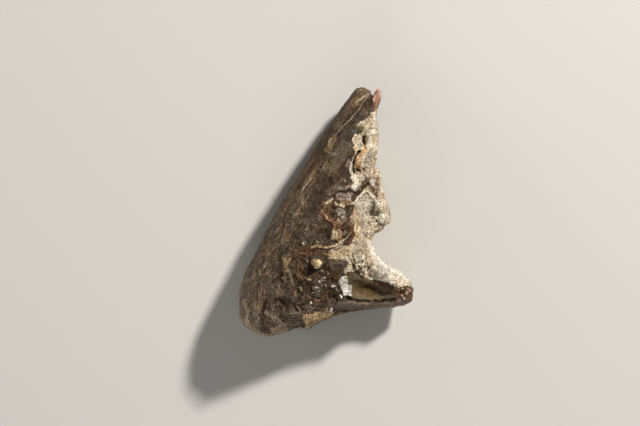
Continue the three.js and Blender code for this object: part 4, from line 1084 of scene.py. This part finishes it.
def ragged_group():
    """A soft mask with its edge broken up by noise of a size in mm."""
    w, given = new_group("ragged_edge", {"Mask": 0.0, "Size": 0.35, "Amount": 1.0}, ("Share",))
    place = w.add("ShaderNodeTexCoord").outputs["Object"]
    wave = w.math("SUBTRACT", w.noise(place, w.math("DIVIDE", 1 / MM, given["Size"]), 3.0, 0.65), 0.5)
    edge = w.step(w.math("ADD", given["Mask"], w.times(wave, given["Amount"])), 0.3, 0.6)
    w.add("NodeGroupOutput", {"Share": w.times(edge, w.math("POWER", given["Mask"], 0.7))})
    return w.tree


def shade_group():
    """Darkens and lightens a colour by how far a value lies from its middle."""
    inputs = {"Colour": (0.5, 0.5, 0.5, 1), "Value": 0.5, "Dark": 0.7, "Pale": 1.3, "Share": 1.0}
    w, given = new_group("mottle", inputs, ("Colour",))
    level = w.step(given["Value"], 0.34, 0.66, given["Dark"], given["Pale"])
    grey = w.add("ShaderNodeCombineColor", {"Red": level, "Green": level, "Blue": level}).outputs["Color"]
    w.add("NodeGroupOutput", {"Colour": w.mix(given["Share"], given["Colour"], grey, "MULTIPLY")})
    return w.tree


def fossil_material(colours):
    material = bpy.data.materials.new("fossil_bone")
    material.use_nodes = True
    material.node_tree.nodes.clear()
    w = Wires(material.node_tree)
    place = w.add("ShaderNodeTexCoord").outputs["Object"]
    grain, specks, net = grain_group(), speckle_group(), crack_group()
    ragged, shade = ragged_group(), shade_group()

    def tone(key):
        return (*getattr(colours, key), 1)

    def painted(name):
        return w.add("ShaderNodeAttribute", attribute_name=name).outputs["Fac"]

    def clouds(per_mm, detail=3.0, roughness=0.6):
        return w.noise(place, per_mm / MM, detail, roughness)

    def placed(group, **given):
        return w.add("ShaderNodeGroup", given, node_tree=group).outputs

    def along(length, width):
        return placed(grain, Length=length, Width=width)["Lines"]

    def speckle(size, cover=1.0):
        return placed(specks, Size=size, Cover=cover)

    def cracks(size, width, cover):
        return placed(net, Size=size, Width=width, Cover=cover)["Lines"]

    def broken(mask, size, amount):
        return placed(ragged, Mask=mask, Size=size, Amount=amount)["Share"]

    def mottle(colour, value, dark, pale, share=1.0):
        return placed(shade, Colour=colour, Value=value, Dark=dark, Pale=pale, Share=share)["Colour"]

    def stained(colour, *stains):
        """The colour under stains: each a pattern, where it starts and is full, its strength and colour."""
        for pattern, start, full, most, key in stains:
            colour = w.mix(w.step(pattern, start, full, 0, most), colour, tone(key))
        return colour

    sediment, crust = broken(painted("sediment_fill"), 0.4, 0.7), broken(painted("crust"), 0.6, 0.9)
    bone = w.math("SUBTRACT", 1.0, w.math("ADD", sediment, crust, clamp=True), clamp=True)
    fine, short, broad = along(1.8, 0.36), along(1.0, 0.22), along(7.0, 1.2)
    patches, grit, dust = clouds(0.9, 4.0), clouds(2.6, 4.0, 0.7), clouds(5.2, 2.0)
    lumps = speckle(0.42)
    lump, chip = lumps["Shade"], speckle(0.27)["Shade"]

    # Bone, with its lines and stains.
    colour = stained(
        tone("bone"), (along(2.6, 1.4), 0.52, 0.68, 0.4, "ochre"),
        (along(2.2, 1.2), 0.5, 0.36, 0.6, "bone_grey"), (along(3.2, 1.5), 0.5, 0.64, 0.8, "bone_red"),
        (short, 0.55, 0.68, 0.75, "umber"), (short, 0.44, 0.34, 0.45, "horn"),
        (chip, 0.8, 0.95, 0.2, "horn"), (chip, 0.28, 0.1, 0.3, "umber"))
    colour = mottle(mottle(colour, fine, 0.42, 1.52), broad, 0.8, 1.18)

    # Sediment, mottled white and tan, with dark grains and cracks in it.
    fill = stained(
        tone("sediment"), (patches, 0.5, 0.62, 1, "white"), (clouds(0.8, 3.0, 0.55), 0.5, 0.62, 0.7, "tan"),
        (clouds(0.45), 0.5, 0.62, 0.4, "lilac"))
    dots, split, hair = speckle(0.42, 0.14)["Share"], cracks(1.9, 0.07, 0.5), cracks(0.8, 0.1, 0.4)
    for share, most, key in ((dots, 0.8, "olive"), (split, 0.8, "umber"), (hair, 0.7, "olive")):
        fill = w.mix(w.times(share, most), fill, tone(key))
    colour = w.mix(sediment, colour, fill)

    # Crust of dark, rusty and clear grains.
    rusty = w.math("ADD", lump, w.step(clouds(0.5), 0.35, 0.65, -0.3, 0.3))
    mixed = stained(tone("umber"), (lump, 0.1, 0.5, 1, "crust"), (rusty, 0.62, 0.9, 0.9, "rust"))
    filigree = w.times(cracks(0.75, 0.16, 0.75), w.step(rusty, 0.3, 0.8, 0.15, 0.7))
    mixed = stained(
        w.mix(filigree, mixed, tone("ochre")), (chip, 0.8, 0.95, 0.65, "horn"), (chip, 0.3, 0.12, 0.7, "dark"))
    colour = w.mix(crust, colour, mixed)

    # Broken bone, with pale, olive and rusty chips.
    chips = stained(
        tone("flake"), (rusty, 0.5, 0.9, 0.6, "bone_red"), (clouds(0.8), 0.5, 0.62, 0.6, "bone_grey"),
        (clouds(1.2), 0.53, 0.62, 0.6, "lip"), (clouds(1.0), 0.47, 0.38, 0.5, "rust"),
        (lump, 0.3, 0.1, 0.7, "umber"), (chip, 0.76, 0.94, 0.55, "horn"))
    sparse = w.step(clouds(0.42, 2.0, 0.5), 0.4, 0.56, 0.1, 0.85)
    for size, key in ((0.45, "tan"), (0.6, "rust")):
        chips = w.mix(w.times(speckle(size, 0.3)["Share"], sparse), chips, tone(key))
    chips = stained(chips, (along(1.1, 0.3), 0.55, 0.68, 0.6, "pink"), (chip, 0.3, 0.12, 0.5, "red"))
    colour = w.mix(broken(painted("flake"), 0.8, 1.0), colour, chips)

    # The painted marks, layer on layer.
    through = w.step(clouds(2.4), 0.4, 0.54, 0.5, 0.95)
    for key in LAYERS:
        share = broken(painted(key), 0.4, 0.9 if key.startswith("bone") else 0.5 if key in CRISP else 1.1)
        colour = w.mix(w.times(share, through if key in MIXED else 0.9), colour, tone(key))

    # Specks and clouds over all of it, fainter where the surface is calm.
    calm = w.math("SUBTRACT", 1.0, w.times(sediment, 0.35))
    for key, share in CALM_COLOURS.items():
        calm = w.math("SUBTRACT", calm, w.times(painted(key), share), clamp=True)
    colour = mottle(mottle(colour, patches, 0.7, 1.25, calm), grit, 0.38, 1.62, calm)
    colour = mottle(mottle(colour, dust, 0.65, 1.35, w.times(calm, calm)), lump, 0.9, 1.1, calm)

    # Painted shade, with some dirt, darkens the hollows, and a painted highlight lightens the ridges.
    shade_and_dirt = w.times(painted("hollow"), w.step(sediment, 0.0, 1.0, 0.62, 0.4))
    colour = w.mix(shade_and_dirt, colour, SHADE_AND_DIRT, "MULTIPLY")
    # Painted highlight on the ridges.
    ridge_highlight = w.times(painted("ridge"), w.step(sediment, 0.0, 1.0, 0.06, 0.2))
    colour = w.mix(ridge_highlight, colour, RIDGE_HIGHLIGHT, "SCREEN")

    rough = w.math("ADD", w.step(patches, 0.3, 0.7, 0.46, 0.62), w.times(sediment, 0.24), clamp=True)
    glint = w.times(crust, w.math("GREATER_THAN", lump, 0.88))
    rough = w.math("SUBTRACT", rough, w.times(glint, 0.3), clamp=True)

    height = w.times(fine, w.times(bone, 0.2 * MM))
    for relief, zone, depth in (
        (clouds(1.9, 5.0, 0.7), sediment, 0.75), (lumps["Height"], crust, 0.2), (dots, sediment, -0.15),
        (split, sediment, -0.25),
    ):
        height = w.math("ADD", height, w.times(relief, w.times(zone, depth * MM)))
    height = w.math("ADD", height, w.times(grit, 0.17 * MM))
    bump = w.add("ShaderNodeBump", {"Height": height, "Strength": 1.0, "Distance": 1.0}).outputs["Normal"]

    surface = w.add(
        "ShaderNodeBsdfPrincipled",
        {"Base Color": colour, "Roughness": rough, "Normal": bump, "Specular IOR Level": SHINE})
    w.add("ShaderNodeOutputMaterial", {"Surface": surface.outputs["BSDF"]})
    return material


def light(name, place, size, power, colour):
    """An area light that faces the fossil."""
    bpy.ops.object.light_add(type="AREA", location=place)
    lamp = bpy.context.active_object
    lamp.name = name
    lamp.data.size = size
    lamp.data.energy = power
    lamp.data.color = colour
    lamp.rotation_euler = (-Vector(place)).to_track_quat("-Z", "Y").to_euler()


def floor_material(colour):
    material = bpy.data.materials.new("pale_floor")
    material.use_nodes = True
    shader = material.node_tree.nodes["Principled BSDF"]
    shader.inputs["Base Color"].default_value = (*colour, 1)
    shader.inputs["Roughness"].default_value = FLOOR_ROUGHNESS
    return material


class FOSSIL_OT_skull(bpy.types.Operator):
    """Makes the surface of the skull fragment on its solid"""

    bl_idname = "fossil.skull"
    bl_label = "Skull fragment"

    def execute(self, context):
        piece = make_skull(context.scene.fossil_sizes, context.scene.fossil_colours)
        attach(piece, "root")
        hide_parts(NODE)
        return {"FINISHED"}


class FOSSIL_OT_stage(bpy.types.Operator):
    """Lays the floor, hangs the lights and sets the camera"""

    bl_idname = "fossil.stage"
    bl_label = "Stage"

    def execute(self, context):
        stage = context.scene.fossil_stage
        bpy.ops.mesh.primitive_plane_add(size=stage.floor_size)
        floor = context.active_object
        floor.name = "floor"
        floor.data.materials.append(floor_material(stage.floor_colour))

        for lamp in LIGHTS:
            light(*lamp)
        world = bpy.data.worlds.new("studio")
        world.use_nodes = True
        background = world.node_tree.nodes["Background"].inputs
        background["Color"].default_value = WORLD_COLOUR
        background["Strength"].default_value = WORLD_POWER
        context.scene.world = world
        context.scene.view_settings.view_transform = "Standard"

        bpy.ops.object.camera_add(location=(*CAMERA_PLAN, stage.camera_height), rotation=(0, 0, 0))
        camera = context.active_object
        camera.name = "camera"
        camera.data.lens = stage.lens
        camera.data.sensor_width = SENSOR
        camera.data.clip_start = 0.01
        context.scene.camera = camera
        return {"FINISHED"}


class FOSSIL_PT_panel(bpy.types.Panel):
    """Lists the fossil's sizes, colours and steps"""

    bl_idname = "FOSSIL_PT_panel"
    bl_label = "Fossil skull"
    bl_space_type = "VIEW_3D"
    bl_region_type = "UI"
    bl_category = "Fossil"

    def draw(self, context):
        for group in (context.scene.fossil_sizes, context.scene.fossil_colours, context.scene.fossil_stage):
            box = self.layout.box()
            for key in group.bl_rna.properties.keys():
                if key not in {"rna_type", "name"}:
                    box.prop(group, key)
        for operator in (FOSSIL_OT_skull, FOSSIL_OT_stage):
            self.layout.operator(operator.bl_idname)


CLASSES = (FossilColours, FossilSizes, FossilStage, FOSSIL_OT_skull, FOSSIL_OT_stage, FOSSIL_PT_panel)


def register():
    for cls in CLASSES:
        bpy.utils.register_class(cls)
    bpy.types.Scene.fossil_colours = PointerProperty(type=FossilColours)
    bpy.types.Scene.fossil_sizes = PointerProperty(type=FossilSizes)
    bpy.types.Scene.fossil_stage = PointerProperty(type=FossilStage)


def unregister():
    del bpy.types.Scene.fossil_colours, bpy.types.Scene.fossil_sizes, bpy.types.Scene.fossil_stage
    for cls in reversed(CLASSES):
        bpy.utils.unregister_class(cls)


def main():
    register()
    bpy.ops.fossil.skull()
    bpy.ops.fossil.stage()


if __name__ == "__main__":
    main()
